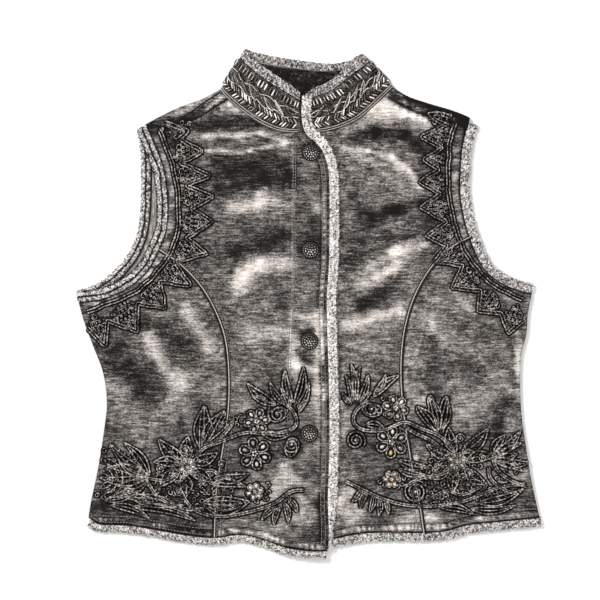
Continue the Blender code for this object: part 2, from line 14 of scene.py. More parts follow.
import bpy
import numpy as np
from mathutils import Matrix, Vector


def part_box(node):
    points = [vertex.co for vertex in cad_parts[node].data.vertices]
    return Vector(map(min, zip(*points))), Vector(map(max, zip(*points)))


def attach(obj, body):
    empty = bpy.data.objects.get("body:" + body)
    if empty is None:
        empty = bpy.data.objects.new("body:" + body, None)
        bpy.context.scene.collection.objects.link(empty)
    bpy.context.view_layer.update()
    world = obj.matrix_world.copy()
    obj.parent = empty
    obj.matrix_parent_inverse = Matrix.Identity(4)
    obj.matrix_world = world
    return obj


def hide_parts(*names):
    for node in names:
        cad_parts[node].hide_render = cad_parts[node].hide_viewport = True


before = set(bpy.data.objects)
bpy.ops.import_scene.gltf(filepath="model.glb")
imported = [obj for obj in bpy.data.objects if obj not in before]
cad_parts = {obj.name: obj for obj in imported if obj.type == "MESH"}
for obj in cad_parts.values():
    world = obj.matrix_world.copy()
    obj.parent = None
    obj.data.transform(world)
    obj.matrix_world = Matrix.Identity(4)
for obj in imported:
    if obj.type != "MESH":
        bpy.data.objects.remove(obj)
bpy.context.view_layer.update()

Array = np.ndarray
LOG = logging.getLogger("vest")
METRES = 0.001

# Cloth and clearances, as in the solids
CLOTH = 1.8
TRIM_THICKNESS = 2.4
SEAM_GAP = 0.3
TRIM_GAP = 0.4
FRONT_BASE = 2.7
OVERLAP_LIFT = 2.9
NECK_GAP = 0.8
COARSE = 10.0
FINE = 2.5
CORNER_REACH = 15.0
SHORTEST_EDGE = 0.3
ARMHOLE_TRIM = 9.5
RIGHT_HEM_TRIM = 7.0
LEFT_HEM_TRIM = 8.5
BACK_HEM_INSET = 3.0
BACK_HEM_JOIN = 30.0
BACK_ARMHOLE_INSET = 1.5
FRONT_TRIM = 9.6
FRONT_TRIM_END = 3.6
FRONT_TRIM_NARROWS_FROM = -200.0
FRONT_TRIM_NARROWS_OVER = 50.0
COLLAR_TRIM = 9.4
COLLAR_SEAM = 0.8
PUFF = 2.6
PUFF_REACH = 26.0
UNDERLAP_EDGE = -14.0
LAP_STARTS = -40.0
LAP_OVER = 22.0
PLACKET_MIDDLE = 4.0
PLACKET_CALM = 24.0
PLACKET_FADE = 26.0
LATTICE_LOW = (-252.0, -276.0)
LATTICE_HIGH = (252.0, 250.0)
FRONTS_MEET = 20.0
SHADOW_ROW_FLATNESS = 0.28
BUTTON_PLACES = ((2.0, 159.0), (1.5, 56.5), (0.5, -39.5), (0.5, -136.5))

# Outer edges with their trims, each as x, y down from the shoulder
RIGHT_SHOULDER = ((-94, 225), (-115, 214.5), (-136, 207), (-157, 197), (-181, 184))
LEFT_SHOULDER = ((90, 227), (105, 218), (127, 210.5), (149, 204), (168, 196.5), (178, 188))
RIGHT_FRONT_ARMHOLE = (
    (-181, 184), (-171, 161), (-162.5, 137), (-159, 105), (-160.5, 80), (-168, 60),
    (-179, 40), (-197, 24.5), (-220, 14.5), (-245, 11),
)
RIGHT_BACK_ARMHOLE = (
    (-181, 184), (-177.5, 158), (-176.5, 130), (-177.5, 100), (-181, 74), (-190, 53),
    (-205, 35), (-224, 20.5), (-245, 13),
)
LEFT_ARMHOLE = (
    (178, 188), (172, 167), (169.5, 140), (169.5, 113), (174, 88), (181, 66), (191, 44.5),
    (204, 32.5), (220, 24.5), (237, 20),
)
RIGHT_SIDE = (
    (-245, 10), (-237.5, -17.5), (-227, -46), (-217, -73), (-213, -104), (-216, -134),
    (-222.5, -175), (-229.5, -208), (-233.5, -233),
)
LEFT_SIDE = (
    (237, 20), (231, -8), (229, -32), (223.5, -55), (222.5, -86), (224, -118), (228.5, -150),
    (233.5, -182), (239.5, -210.5), (245, -234.5),
)
RIGHT_HEM = (
    (-233.5, -234), (-222, -240), (-190, -241.5), (-157, -247), (-120, -253), (-95, -254),
    (-75, -251), (-55, -254.5), (-25, -264.5), (0, -268), (18, -268.5),
)
LEFT_HEM = (
    (-14, -261), (20, -258), (54, -251.5), (85, -250), (117, -250.5), (145, -248.5),
    (170, -242), (200, -239), (245, -234.5),
)

# Seams between the centre and the side of each front, down from the armhole
RIGHT_PRINCESS = (
    (-172, 62), (-157, 55), (-133, 37.5), (-112, 14), (-97, -14), (-88.5, -42), (-85.5, -80),
    (-87, -118), (-94, -165), (-99, -200), (-101.5, -262),
)
LEFT_PRINCESS = (
    (186, 77), (170, 69), (145.5, 54.5), (124, 29.5), (108.5, -2), (100, -38), (98, -75.5),
    (101, -115), (108.5, -165), (117, -207), (125, -260),
)

# Middle of the trim down the right front's edge, from the collar's corner to the hem
FRONT_TRIM_MIDDLE = (
    (-2.5, 218), (-3, 196), (0.5, 182.5), (9, 174.5), (17, 165.5), (22.5, 153), (25.5, 138),
    (26.5, 110), (26, 46), (23.5, 0), (25.5, -75), (26.5, -134), (24.5, -207), (22, -258),
)

# The collar from the right front round the back to the left front. Base height is the wall's
# middle, or None where it follows the front that it is sewn to.
# base_x, base_y, base_z, top_x, top_y, top_z
COLLAR_SECTIONS = (
    (-10.0, 180.3, None, -9.5, 221.5, 17.0),
    (-29.5, 181.5, None, -19.0, 229.5, 18.0),
    (-47.0, 188.0, None, -32.5, 238.5, 17.5),
    (-62.0, 197.0, None, -46.5, 248.0, 15.5),
    (-77.0, 208.5, None, -58.0, 257.5, 12.5),
    (-88.0, 218.5, 4.4, -64.5, 264.0, 9.0),
    (-92.0, 225.5, 2.7, -66.5, 268.0, 4.8),
    (-85.0, 224.0, 0.9, -60.0, 266.0, 0.9),
    (-66.0, 217.5, 0.9, -36.0, 260.5, 0.9),
    (-20.0, 212.0, 0.9, -9.5, 256.5, 0.9),
    (22.0, 212.0, 0.9, 20.0, 253.0, 0.9),
    (63.0, 218.0, 0.9, 42.0, 256.0, 0.9),
    (81.0, 225.5, 0.9, 50.0, 261.0, 0.9),
    (87.5, 228.5, 2.7, 56.5, 262.5, 4.8),
    (84.0, 224.0, 4.4, 55.0, 259.0, 8.5),
    (69.0, 209.5, None, 42.0, 251.0, 12.0),
    (54.5, 196.5, None, 30.5, 241.5, 14.0),
    (38.5, 188.0, None, 20.0, 233.0, 14.5),
    (18.0, 181.8, None, 8.0, 228.0, 13.8),
    (-5.5, 180.0, None, -3.5, 222.0, 12.8),
)
COLLAR_BULGE = 1.6
COLLAR_HEIGHT = 45.0
COLLAR_FRONT_ROWS = 6
COLLAR_FOLD_HEIGHT = 3.5
COLLAR_FRONT_BASE_Y = 177.0
COLLAR_FRONT_TOP = (221.5, 16.0)
COLLAR_FINE = 14
COLLAR_FINE_ROWS = 31
PLACKET_STITCH = (
    (-16, 176), (-17, 100), (-17, 40), (-20, -20), (-22, -90), (-22, -180), (-21, -252),
)

# Soft ridges of the fronts, or troughs where the rise is negative, each along a straight crease.
# from_x, from_y, to_x, to_y, half_width, rise
FOLDS = (
    (-108, 176, -40, 170, 7, 1.6),
    (-112, 158, -30, 162, 8, 2.4),
    (-94, 130, -30, 134, 14, -1.6),
    (-84, 100, -28, 106, 12, 3.2),
    (-76, 66, -28, 70, 13, -1.6),
    (-88, 22, -28, 34, 15, 3.8),
    (-62, -32, -32, -28, 11, 2.2),
    (-122, -20, -104, -62, 13, 3.6),
    (-160, -46, -138, -104, 15, 3.4),
    (-196, -50, -170, -96, 14, -2.0),
    (-206, -140, -150, -128, 15, 2.2),
    (-78, -70, -40, -96, 16, -1.8),
    (-74, -150, -44, -214, 15, 2.2),
    (-196, -208, -130, -224, 12, 2.0),
    (62, 188, 118, 196, 11, 2.6),
    (46, 166, 110, 156, 12, -1.8),
    (40, 152, 104, 138, 8, 2.6),
    (64, 92, 112, 98, 14, -1.8),
    (70, 56, 120, 48, 12, 3.2),
    (58, 34, 98, 22, 13, 3.4),
    (44, -8, 88, -20, 13, 2.8),
    (118, -20, 128, -92, 15, 2.6),
    (176, -34, 158, -104, 15, 3.2),
    (206, -78, 196, -140, 13, -2.2),
    (48, -160, 72, -226, 14, 2.6),
    (150, -196, 214, -206, 12, 2.0),
)

# Points of the zigzag braids, down from the shoulder: first a point near the armhole, then one
# towards the middle of the front.
# near_x, near_y, far_x, far_y
RIGHT_ZIGZAG = (
    (-136, 173, -112, 160), (-135, 148, -105.5, 134.5), (-128.5, 124, -101.5, 112.5),
    (-124, 100, -102.5, 86), (-128.5, 69, -108.5, 52), (-141, 44, -125.5, 19.5),
    (-156.5, 23, -152, -4.5), (-180, 0, -181.5, -29), (-212, -18, -215, -44),
)
LEFT_ZIGZAG = (
    (146, 189.5, 119, 175.5), (140, 163.5, 121.5, 151.5), (136, 141, 117, 128),
    (138, 115.5, 118, 101), (144.5, 86, 123.5, 71), (145.5, 61, 132, 44),
    (161.5, 40, 151, 16.5), (180.5, 14, 178.5, -8), (201.5, -10, 210, -31),
)
RIGHT_ZIGZAG_END = (-233, -26)
LEFT_ZIGZAG_END = (225, -18)
RIGHT_ARMHOLE_BRAID = (
    (-157, 183), (-148, 158), (-141.5, 136), (-137.5, 108), (-138.5, 76), (-146, 54), (-162, 32),
    (-182, 13), (-208, 1), (-234, -9),
)
LEFT_ARMHOLE_BRAID = (
    (154, 190), (148.5, 172), (146.5, 141), (147.5, 110), (153.5, 82), (163, 57), (178, 35),
    (196, 18), (226, 4),
)

# Paler or darker streaks along a line: the wash's own streaks, painted highlights and painted
# shade of the folds, and painted shadows beside the buttons, along the shoulder seams and above
# the hem. from_x, from_y, to_x, to_y, half_width, amount
STREAKS_OF_WASH_AND_PAINTED_LIGHT = (
    (127.5, -167, 207, -180, 19.0, 0.13), (38, -144, 66.5, -175.5, 12.7, 0.12),
    (104.5, -207.5, 138, -228.5, 8.4, 0.14),
    (-112, 199, -107.5, 203, 1.7, 0.5), (-105.5, 205, -101.5, 209.5, 1.7, 0.5),
    (-97, 213.5, -94, 217, 1.7, 0.45), (-118, 193.5, -115, 197, 1.5, 0.4),
    (-125.5, 192.5, -123.5, 194.5, 1.5, 0.3), (-17, 170.5, -17, 104, 1.2, 0.2),
    (-17, 104, -18, 3.5, 1.2, 0.15), (-19, -7, -20, -61.5, 1.4, 0.3),
    (-20, -144, -20, -228.5, 1.3, 0.12), (-85.5, -199, -62, -203, 4.2, 0.1),
    (-224.5, -123, -201.5, -140, 6.3, -0.12), (-246, -144, -220.5, -150.5, 6.3, -0.12),
    (102.5, 198, 127.5, 183, 9.5, 0.26), (-22, 191.5, 3, 185, 7.4, 0.24),
    (-43.5, 172.5, -9.5, 160, 6.3, 0.1), (-87.5, 134.5, -60, 138.5, 10.5, -0.14),
    (98, 143, 123.5, 122, 7.4, 0.24), (92, 117.5, 121.5, 103, 9.5, 0.14),
    (45.5, 117.5, 58, 86, 12.7, -0.15), (9.5, 109, 22, 67, 6.3, 0.2),
    (-22, 82, -9.5, 67, 9.5, 0.16), (43.5, 44, 66.5, 54.5, 11.6, -0.16),
    (-81, 35.5, -62, 44, 10.5, -0.12), (-49.5, 37.5, -28.5, 46, 8.4, 0.1),
    (-54, 12, -26.5, -0.5, 10.5, -0.14), (-75, 12, -60, 18.5, 8.4, 0.16),
    (205.5, 12, 214, -9, 9.5, 0.26), (104.5, -15.5, 127.5, -23.5, 9.5, 0.18),
    (170, -19.5, 191, -34.5, 10.5, -0.1), (-49.5, -23.5, -30.5, -30, 10.5, -0.12),
    (-119, -49, -92, -61.5, 10.5, -0.1), (-18, -13, 7.5, -13, 3.2, 0.3),
    (-20, -36.5, -11.5, -72.5, 7.4, 0.34), (-18, -66, 9.5, -72.5, 5.3, 0.42),
    (7.5, -28, 10.5, -93.5, 4.2, 0.3), (-9.5, -85, 7.5, -97.5, 7.4, 0.24),
    (-13.5, -51, -1, -61.5, 3.2, -0.25), (1, -26, -5.5, -32, 5.3, -0.35),
    (9.5, -107, 11.5, -135.5, 4.2, 0.2), (-208, -83, -191, -91.5, 8.4, 0.12),
    (-81, -80.5, -58, -93.5, 10.5, 0.16), (-20, -114.5, -9.5, -127, 5.3, 0.12),
    (45.5, -72.5, 70.5, -80.5, 8.4, 0.12), (96, -80.5, 119, -102, 8.4, 0.14),
    (130, -104, 161.5, -114.5, 9.5, 0.16), (32.5, -99.5, 45.5, -133.5, 7.4, 0.2),
    (79, -140, 96, -150.5, 6.3, 0.14), (205.5, -85, 220.5, -97.5, 6.3, 0.18),
    (210, -156.5, 222.5, -184, 7.4, 0.24), (201.5, -205, 224.5, -220, 7.4, 0.2),
    (-153, -167, -100, -184, 17.9, -0.16), (-85.5, -167, -66.5, -184, 10.5, -0.14),
    (30.5, -212.5, 45.5, -230.5, 7.4, 0.3), (45.5, -199, 56, -220, 5.3, 0.22),
    (138, -212.5, 186.5, -220, 6.3, 0.18), (-26.5, -207.5, -9.5, -224, 8.4, 0.14),
    (-56, -207.5, -49.5, -228.5, 4.2, 0.12), (103.5, -55.5, 111, -75.5, 2.1, 0.16),
    (111, -75.5, 123.5, -92.5, 2.1, 0.14), (156, -69, 144.5, -92.5, 2.1, 0.16),
    (166.5, -45, 189, -67, 2.1, 0.16), (117, -38.5, 108.5, -64, 1.9, 0.14),
    (138, -44, 170, -49, 1.9, 0.14), (193, -76.5, 208, -72.5, 2.1, 0.18),
    (218.5, -30, 221.5, -72.5, 4.2, 0.2), (2, 165, -3, 162, 7.4, -0.3),
    (0, 61.5, -4, 58.5, 7.4, -0.3), (-3, -133.5, -8.5, -137.5, 8.4, -0.3),
    (87.5, 219, 134, 207.5, 2.6, -0.4), (134, 207.5, 170, 191.5, 3.7, -0.4),
    (161.5, 195.5, 165.5, 181, 5.3, -0.3), (-140.5, 199, -125.5, 208.5, 3.2, 0.25),
    (-125.5, 210.5, -102.5, 222, 3.2, 0.2), (-119, 198, -98, 211.5, 2.6, 0.18),
    (142.5, 189.5, 149, 162, 3.2, 0.15), (122.5, 217, 154, 208.5, 3.2, -0.2),
    (-155, 162, -151, 135.5, 3.2, 0.12),
    (-126, 176, -102, 176, 6.3, 0.22), (-110, 177, -50, 179, 2.6, 0.4),
    (-50, 179, -22, 169, 3.0, 0.36), (-110, 161, -62, 160, 2.4, 0.46),
    (-62, 161, -26, 168, 2.8, 0.38), (-110, 168, -31, 170, 5.0, -0.06),
    (-115, 187, -57, 193, 7.4, -0.32), (-99, 146, -20, 145, 11.6, -0.2),
    (-92, 120, -20, 132, 7.4, -0.3), (-81, 100, -50, 109, 7.4, 0.38),
    (-50, 109, -20, 103, 8.4, 0.24), (-78, 54, -20, 75, 8.4, -0.32),
    (-77, 23, -50, 43, 8.4, 0.42), (-50, 44, -20, 44, 8.4, 0.3), (-81, 4, -69, 29, 7.4, 0.2),
    (-130, -9, -100, -53, 7.4, 0.36), (-168, -39, -138, -87, 7.9, 0.4),
    (-152, -104, -110, -81, 13.7, 0.12), (-215, -100, -168, -128, 10.5, 0.08),
    (-176, -20, -128, -42, 9.5, -0.26), (-204, -49, -168, -97, 15.8, -0.24),
    (-57, -29, -34, -32, 8.4, 0.34), (-50, -12, -24, -3, 6.3, -0.12),
    (-22, -180, -47, -207, 9.5, 0.32), (-24, -231, -43, -244, 8.4, 0.24),
    (-57, -161, -9, -155, 9.5, -0.22), (-220, -213, -131, -231, 10.5, -0.22),
    (-14, 4, 12, -28, 10.5, 0.12), (-13, -44, 12, -81, 9.5, -0.12),
    (-14, 109, 9, 72, 10.5, -0.18), (-14, -186, 3, -228, 9.5, 0.16),
    (62, 202, 123, 196, 9.5, 0.38), (38, 120, 91, 132, 10.5, 0.1), (54, 18, 92, 42, 7.4, 0.32),
    (52, -3, 88, 14, 6.3, -0.32), (37, -23, 96, -6, 6.9, 0.42), (126, -15, 145, -41, 5.3, 0.22),
    (154, 9, 172, -9, 5.3, 0.14), (170, -104, 225, -95, 9.5, 0.16),
    (218, -47, 224, -89, 4.2, 0.32), (208, -100, 195, -133, 8.4, -0.32),
    (34, -204, 50, -223, 8.4, 0.36), (94, -229, 130, -224, 6.3, 0.3),
    (38, -157, 71, -188, 8.4, -0.2), (138, -49, 202, -70, 16.9, -0.06),
    (38, -39, 70, -51, 8.4, 0.1), (117, 120, 128, 78, 8.4, -0.12),
    (-220, -233, -99, -242, 3.7, -0.3), (14, -207, 16, -262, 5.3, -0.35),
    (-83, -239, 20, -259, 3.2, 0.22), (38, -239, 138, -237, 3.2, 0.2), (9, -9, 14, -60, 5.3, 0.3),
    (-6, -23, 15, -20, 4.2, 0.25), (-9, 93, 7, 97, 4.2, 0.12), (-14, 151, 3, 132, 6.3, -0.12),
    (-92, 210, -77, 202, 4.2, 0.3), (-81, 206, -66, 196, 4.2, 0.2),
    (-141, 189, -99, 210, 4.2, -0.35), (96, 210, 149, 187, 4.2, -0.3),
    (45, 215, 88, 210, 8.4, 0.22), (75, 217, 109, 196, 8.4, 0.16), (38, 174, 70, 182, 5.3, -0.3),
    (70, 182, 101, 177, 5.8, -0.36), (101, 177, 121, 160, 5.3, -0.32),
    (33, 162, 62, 161, 2.6, 0.36), (62, 161, 88, 154, 3.2, 0.36), (88, 154, 107, 141, 3.7, 0.36),
    (107, 141, 117, 125, 3.7, 0.32), (45, 155, 80, 146, 2.6, 0.25), (66, 91, 92, 102, 5.8, -0.36),
    (92, 102, 117, 106, 5.8, -0.3), (43, 67, 112, 71, 3.2, -0.2), (121, 61, 92, 54, 5.3, 0.34),
    (92, 54, 66, 44, 6.3, 0.34), (66, 44, 52, 25, 6.3, 0.24), (104, 50, 75, 29, 7.4, 0.2),
    (35, 132, 43, 86, 5.3, 0.12), (170, -7, 217, -28, 8.4, 0.12), (138, 35, 170, 4, 7.4, 0.14),
    (202, 4, 220, -20, 5.3, -0.2), (122, 204, 170, 186, 7.4, -0.34),
    (-166, 183, -134, 189, 7.4, -0.3), (134, 191, 145, 141, 5.3, -0.2),
    (35, 164, 45, 202, 3.2, 0.2), (-149, 141, -140, 128, 4.2, 0.2),
    (-154, 104, -145, 78, 4.2, 0.15), (-147, 178, -136, 162, 4.2, -0.2),
)

# Soft noise of the fronts, each row a cloud's strength, size and seed: the cloth's ripples, the
# wash's mottles, and how far the streaks of wash and painted light wander
RIPPLES = ((0.22, 9.0, 21), (0.45, 23.0, 22))
MOTTLES = ((0.06, 60.0, 31), (0.09, 22.0, 32), (0.08, 9.0, 33), (0.07, 4.5, 39))
SHAKES_ACROSS = ((4.0, 19.0, 35), (1.7, 7.0, 36))
SHAKES_ALONG = ((4.0, 19.0, 37), (1.7, 7.0, 38))

# Corded leaves: base_x, base_y, tip_x, tip_y, width
LEAVES = (
    (-18, -104, -25, -69, 7.4), (-15, -106, -6, -66, 8.4), (-12, -110, 0, -83, 6.3),
    (-11, -114, 0, -100, 4.2), (-20, -110, -30, -89, 5.3), (-26, -106, -41, -83, 6.3),
    (-35, -107, -65, -84, 10.5), (-43, -106, -60, -98, 6.3), (-114, -152, -110, -108, 10.5),
    (-112, -150, -89, -113, 10.5), (-109, -150, -80, -122, 6.3), (-130, -167, -159, -142, 13.7),
    (-128, -165, -127, -140, 12.7), (-123, -167, -96, -157, 11.6), (-126, -176, -102, -188, 11.6),
    (-132, -180, -130, -204, 12.7), (-136, -176, -157, -193, 11.6),
    (-136, -169, -164, -167, 10.5), (-100, -184, -63, -179, 9.5), (-102, -190, -66, -193, 8.4),
    (-112, -210, -62, -208, 20.0), (-102, -210, -71, -209, 9.5), (-197, -196, -132, -212, 9.5),
    (-193, -204, -126, -221, 9.5), (-186, -214, -119, -229, 8.4), (-208, -212, -168, -226, 7.4),
    (-216, -207, -180, -197, 6.3), (-35, -214, -50, -228, 5.3), (-31, -214, -37, -233, 5.3),
    (-26, -209, -22, -231, 5.3), (-22, -205, -12, -220, 5.3), (-50, -136, -20, -138, 8.4),
    (47, -103, 44, -63, 6.3), (50, -103, 54, -66, 6.3), (52, -104, 62, -74, 6.3),
    (45, -104, 38, -75, 5.3), (45, -106, 35, -94, 4.2), (54, -106, 66, -93, 5.3),
    (68, -98, 96, -75, 8.4), (71, -93, 81, -74, 5.3), (60, -127, 79, -131, 7.4),
    (136, -135, 114, -108, 8.4), (137, -133, 126, -98, 8.4), (139, -133, 145, -99, 8.4),
    (151, -161, 123, -148, 10.5), (154, -157, 147, -130, 11.6), (161, -157, 189, -131, 12.7),
    (166, -165, 195, -161, 11.6), (164, -174, 187, -190, 11.6), (155, -176, 151, -199, 11.6),
    (147, -171, 126, -184, 11.6), (94, -165, 126, -172, 8.4), (94, -174, 123, -180, 6.3),
    (56, -195, 45, -209, 5.3), (61, -198, 54, -216, 5.3), (68, -201, 63, -220, 5.3),
    (74, -205, 73, -223, 5.3), (80, -207, 83, -222, 4.2), (178, -210, 226, -195, 9.5),
    (170, -216, 218, -212, 7.4), (138, -214, 174, -222, 7.4),
)

# Flowers of looped petals: x, y, radius, petals, turn in degrees
FLOWERS = (
    (-55, -124, 13.7, 6, 10), (-57, -158, 16.9, 6, -20), (-128, -172, 9.5, 7, 0),
    (-57, -198, 9.5, 6, 15), (91, -110, 13.7, 6, -15), (87, -146, 16.9, 6, 25),
    (156, -166, 10.5, 7, 10), (87, -185, 9.5, 6, 0),
)

# Curled cords: x, y, radius, turns, start in degrees
SPIRALS = (
    (-18, -148, 9.0, 1.8, 200), (-33, -117, 7.4, 1.3, 60), (-131, -154, 5.3, 1.5, 0),
    (-156, -174, 4.7, 1.4, 90), (-137, -198, 4.7, 1.4, 180), (-92, -169, 4.2, 1.3, 30),
    (49, -144, 10.5, 2.0, -40), (66, -111, 7.4, 1.3, 120), (112, -198, 12.7, 2.3, 20),
    (159, -142, 5.3, 1.5, 0), (183, -162, 4.7, 1.4, 90), (162, -183, 4.7, 1.4, 0),
    (134, -171, 4.2, 1.3, 200),
)

# Stems, each as points x, y along it
STEMS = (
    ((-28, -103), (-17, -113), (-13, -125), (-20, -133), (-43, -137), (-68, -136),
     (-92, -145), (-110, -152), (-119, -161)),
    ((-5, -196), (-19, -198), (-36, -210), (-62, -219), (-94, -224), (-119, -218), (-132, -204)),
    ((-109, -176), (-101, -176), (-92, -182), (-77, -186)),
    ((-168, -184), (-152, -186), (-138, -178)),
    ((-170, -188), (-157, -205), (-130, -216), (-110, -216)),
    ((63, -103), (50, -112), (47, -125), (58, -133), (79, -133), (100, -125), (117, -131),
     (138, -140), (151, -152)),
    ((39, -187), (61, -198), (79, -206), (102, -212), (132, -213), (162, -208), (183, -200),
     (202, -193), (227, -190)),
    ((98, -127), (111, -136), (128, -144), (142, -155)),
    ((100, -193), (117, -184), (138, -180), (151, -174)),
    ((193, -163), (199, -176), (212, -186), (229, -193)),
    ((189, -171), (191, -184), (204, -195), (220, -201)),
    ((128, -205), (145, -197), (161, -201), (180, -193)),
)

# Fans of feathery lines: x, y, from and to in degrees, number, length
FANS = (
    (-166, -183, 128, 206, 7, 57.0), (191, -163, -22, 58, 6, 44.3),
)

# Arcs: x, y, radius, from and to in degrees
ARCS = (
    (-217, -184, 5.3, -90, 90), (-217, -184, 10.5, -85, 85), (-217, -184, 15.8, -80, 80),
    (-217, -184, 21.1, -75, 78),
)

# Shoulder seams, which lie a little down the fronts
RIGHT_SHOULDER_SEAM = ((-87, 215), (-101, 206), (-115, 197), (-128, 191), (-140, 187))
LEFT_SHOULDER_SEAM = ((83, 217), (96, 210), (112, 202), (130, 196), (151, 189))

# Dark lines of painted shadow along the shoulder seams, those of the right front first
SHOULDER_LINES = (
    (RIGHT_SHOULDER_SEAM, ((-90, 225), (-104, 216), (-116, 208), (-124, 202), (-136, 195))),
    (LEFT_SHOULDER_SEAM, ((90, 224), (108, 216), (126, 210), (146, 202))),
)

# Outlines of single cord, each as points x, y along it
OUTLINES = (
    ((-151, 192), (-144, 190), (-137, 187), (-131, 185), (-126.5, 182), (-130, 177), (-135, 173)),
    ((-151, 189), (-140.5, 184.5), (-131, 181), (-138, 174.5)),
    ((149, 198), (141, 201), (134, 201.5), (125.5, 200.5), (129, 195.5), (135, 191), (145, 186)),
    ((148, 195), (140, 197.5), (131, 198), (134, 194.5), (147, 189)),
    ((-115, -154), (-115, -128), (-112, -110), (-109, -109), (-105, -121), (-101, -127),
     (-96, -118), (-90, -113), (-88, -118), (-92, -127), (-87, -124), (-80, -121), (-80, -127),
     (-88, -137), (-104, -150)),
    ((138, -137), (124, -127), (114, -114), (114, -108), (121, -112), (126, -112),
     (125, -100), (129, -97), (134, -111), (137, -113), (141, -101), (146, -99), (145, -118),
     (141, -136)),
    ((-21, -145), (-25, -150), (-24, -158), (-19, -161), (-14, -157), (-13, -149),
     (-17, -144), (-22, -146)),
    ((-41, -107), (-43, -116), (-40, -123), (-33, -124), (-26, -120), (-25, -112),
     (-31, -109), (-37, -111)),
    ((56, -111), (60, -106), (69, -106), (76, -110), (75, -116), (68, -119), (60, -117),
     (56, -111)),
)

# Thickets of small hooks of cord: x, y, half its width, half its height, number
THICKETS = (
    (-143, 181, 13, 8, 14), (-137, 187, 12, 5, 6), (139, 197, 12, 8, 12), (-130, -174, 13, 11, 10),
    (154, -167, 15, 12, 10), (-128, -172, 27, 21, 34), (-115, -207, 36, 12, 28),
    (-96, -190, 19, 14, 16), (-28, -108, 14, 13, 10), (-50, -199, 13, 11, 9),
    (-152, -190, 17, 14, 12), (-73, -123, 6, 6, 4), (155, -165, 32, 21, 34),
    (161, -197, 38, 12, 28), (121, -182, 15, 13, 14), (83, -106, 16, 12, 11),
    (88, -186, 14, 9, 11), (128, -207, 23, 7, 12), (207, -176, 15, 13, 10),
    (-210, -163, 8, 17, 8), (-212, -199, 13, 8, 7),
)


def smooth(knots: Iterable, spacing: float = COARSE) -> Array:
    """Points about a spacing apart on a Catmull-Rom curve through the knots.

    Args:
        knots: points of the curve, in two or three dimensions.
        spacing: distance between the points that come back.

    Returns:
        The points, with the last knot at the end.
    """
    knots = np.asarray(knots, float)
    reach = np.vstack([2 * knots[0] - knots[1], knots, 2 * knots[-1] - knots[-2]])
    stretches = []
    for before, start, end, after in zip(reach, reach[1:], reach[2:], reach[3:]):
        count = max(1, round(np.linalg.norm(end - start) / spacing))
        t = np.linspace(0, 1, count, endpoint=False)[:, None]
        cubic = 3 * (start - end) + after - before
        square = 2 * before - 5 * start + 4 * end - after
        stretches.append(start + 0.5 * t * (end - before + t * (square + t * cubic)))
    return np.vstack([*stretches, knots[-1:]])


def lengths(path: Array) -> Array:
    """Distance along the path to each of its points."""
    return np.r_[0.0, np.cumsum(np.linalg.norm(np.diff(path, axis=0), axis=1))]


def evened(path: Array, spacing: float) -> Array:
    """The path read again at even distances of about the spacing.

    Args:
        path: points along a line.
        spacing: about how far apart the new points are.

    Returns:
        The new points.
    """
    along = lengths(path)
    places = np.linspace(0, along[-1], max(2, round(along[-1] / spacing) + 1))
    return np.stack([np.interp(places, along, column) for column in path.T], axis=1)


def sideways(path: Array) -> Array:
    """Unit vectors in plan that point to the left of the path at each of its points.

    Args:
        path: points along a line.

    Returns:
        A unit vector for each point.
    """
    along = np.gradient(path[:, :2], axis=0)
    left = np.stack([-along[:, 1], along[:, 0]], axis=1)
    return left / np.linalg.norm(left, axis=1, keepdims=True)


def offset(path: Array, distance: float | Array) -> Array:
    """The path moved to its left in plan, or to its right where the distance is negative."""
    return path[:, :2] + np.asarray(distance)[..., None] * sideways(path)


def crossing(a: Array, b: Array) -> tuple[int, int, Array] | None:
    """The last place where path a crosses path b, as (segment of a, segment of b, point).

    Args:
        a: one path in plan.
        b: the other path.

    Returns:
        Both segments' numbers and the place, or None where the paths don't cross.
    """
    r, s = np.diff(a, axis=0)[:, None], np.diff(b, axis=0)[None]
    gap = b[None, :-1] - a[:-1, None]
    turn = r[..., 0] * s[..., 1] - r[..., 1] * s[..., 0]
    turn = np.where(np.abs(turn) < 1e-9, np.inf, turn)
    t = (gap[..., 0] * s[..., 1] - gap[..., 1] * s[..., 0]) / turn
    u = (gap[..., 0] * r[..., 1] - gap[..., 1] * r[..., 0]) / turn
    met = np.argwhere((t >= 0) & (t <= 1) & (u >= 0) & (u <= 1) & np.isfinite(turn))
    if not len(met):
        return None
    i, j = met[-1]
    return int(i), int(j), a[i] + t[i, j] * r[i, 0]


def lengthened(path: Array) -> Array:
    """The path carried straight on past its last point."""
    along = path[-1] - path[-2]
    return np.vstack([path, path[-1] + CORNER_REACH * along / np.linalg.norm(along)])


def outline(*edges: Array) -> Array:
    """One anticlockwise loop from edges that follow each other, cut where two of them cross.

    Args:
        edges: the edges, in order round the loop.

    Returns:
        The loop's points, with the first not repeated.
    """
    edges = [np.asarray(edge, float)[:, :2] for edge in edges]
    for i in range(len(edges)):
        j = (i + 1) % len(edges)
        ending, starting = lengthened(edges[i]), lengthened(edges[j][::-1])[::-1]
        met = crossing(ending, starting)
        if met:
            last, first, point = met
            edges[i] = np.vstack([ending[: last + 1], point])
            edges[j] = np.vstack([point, starting[first + 1 :]])
    loop = np.vstack(edges)
    loop = loop[np.linalg.norm(loop - np.roll(loop, 1, axis=0), axis=1) > SHORTEST_EDGE]
    x, y = loop.T
    area = np.sum(x * np.roll(y, -1) - y * np.roll(x, -1))
    return loop if area > 0 else loop[::-1]


@dataclass(frozen=True)
class Nearest:
    """Where points lie beside a path: how far off, how far along, and the nearest place."""

    off: Array
    along: Array
    place: Array


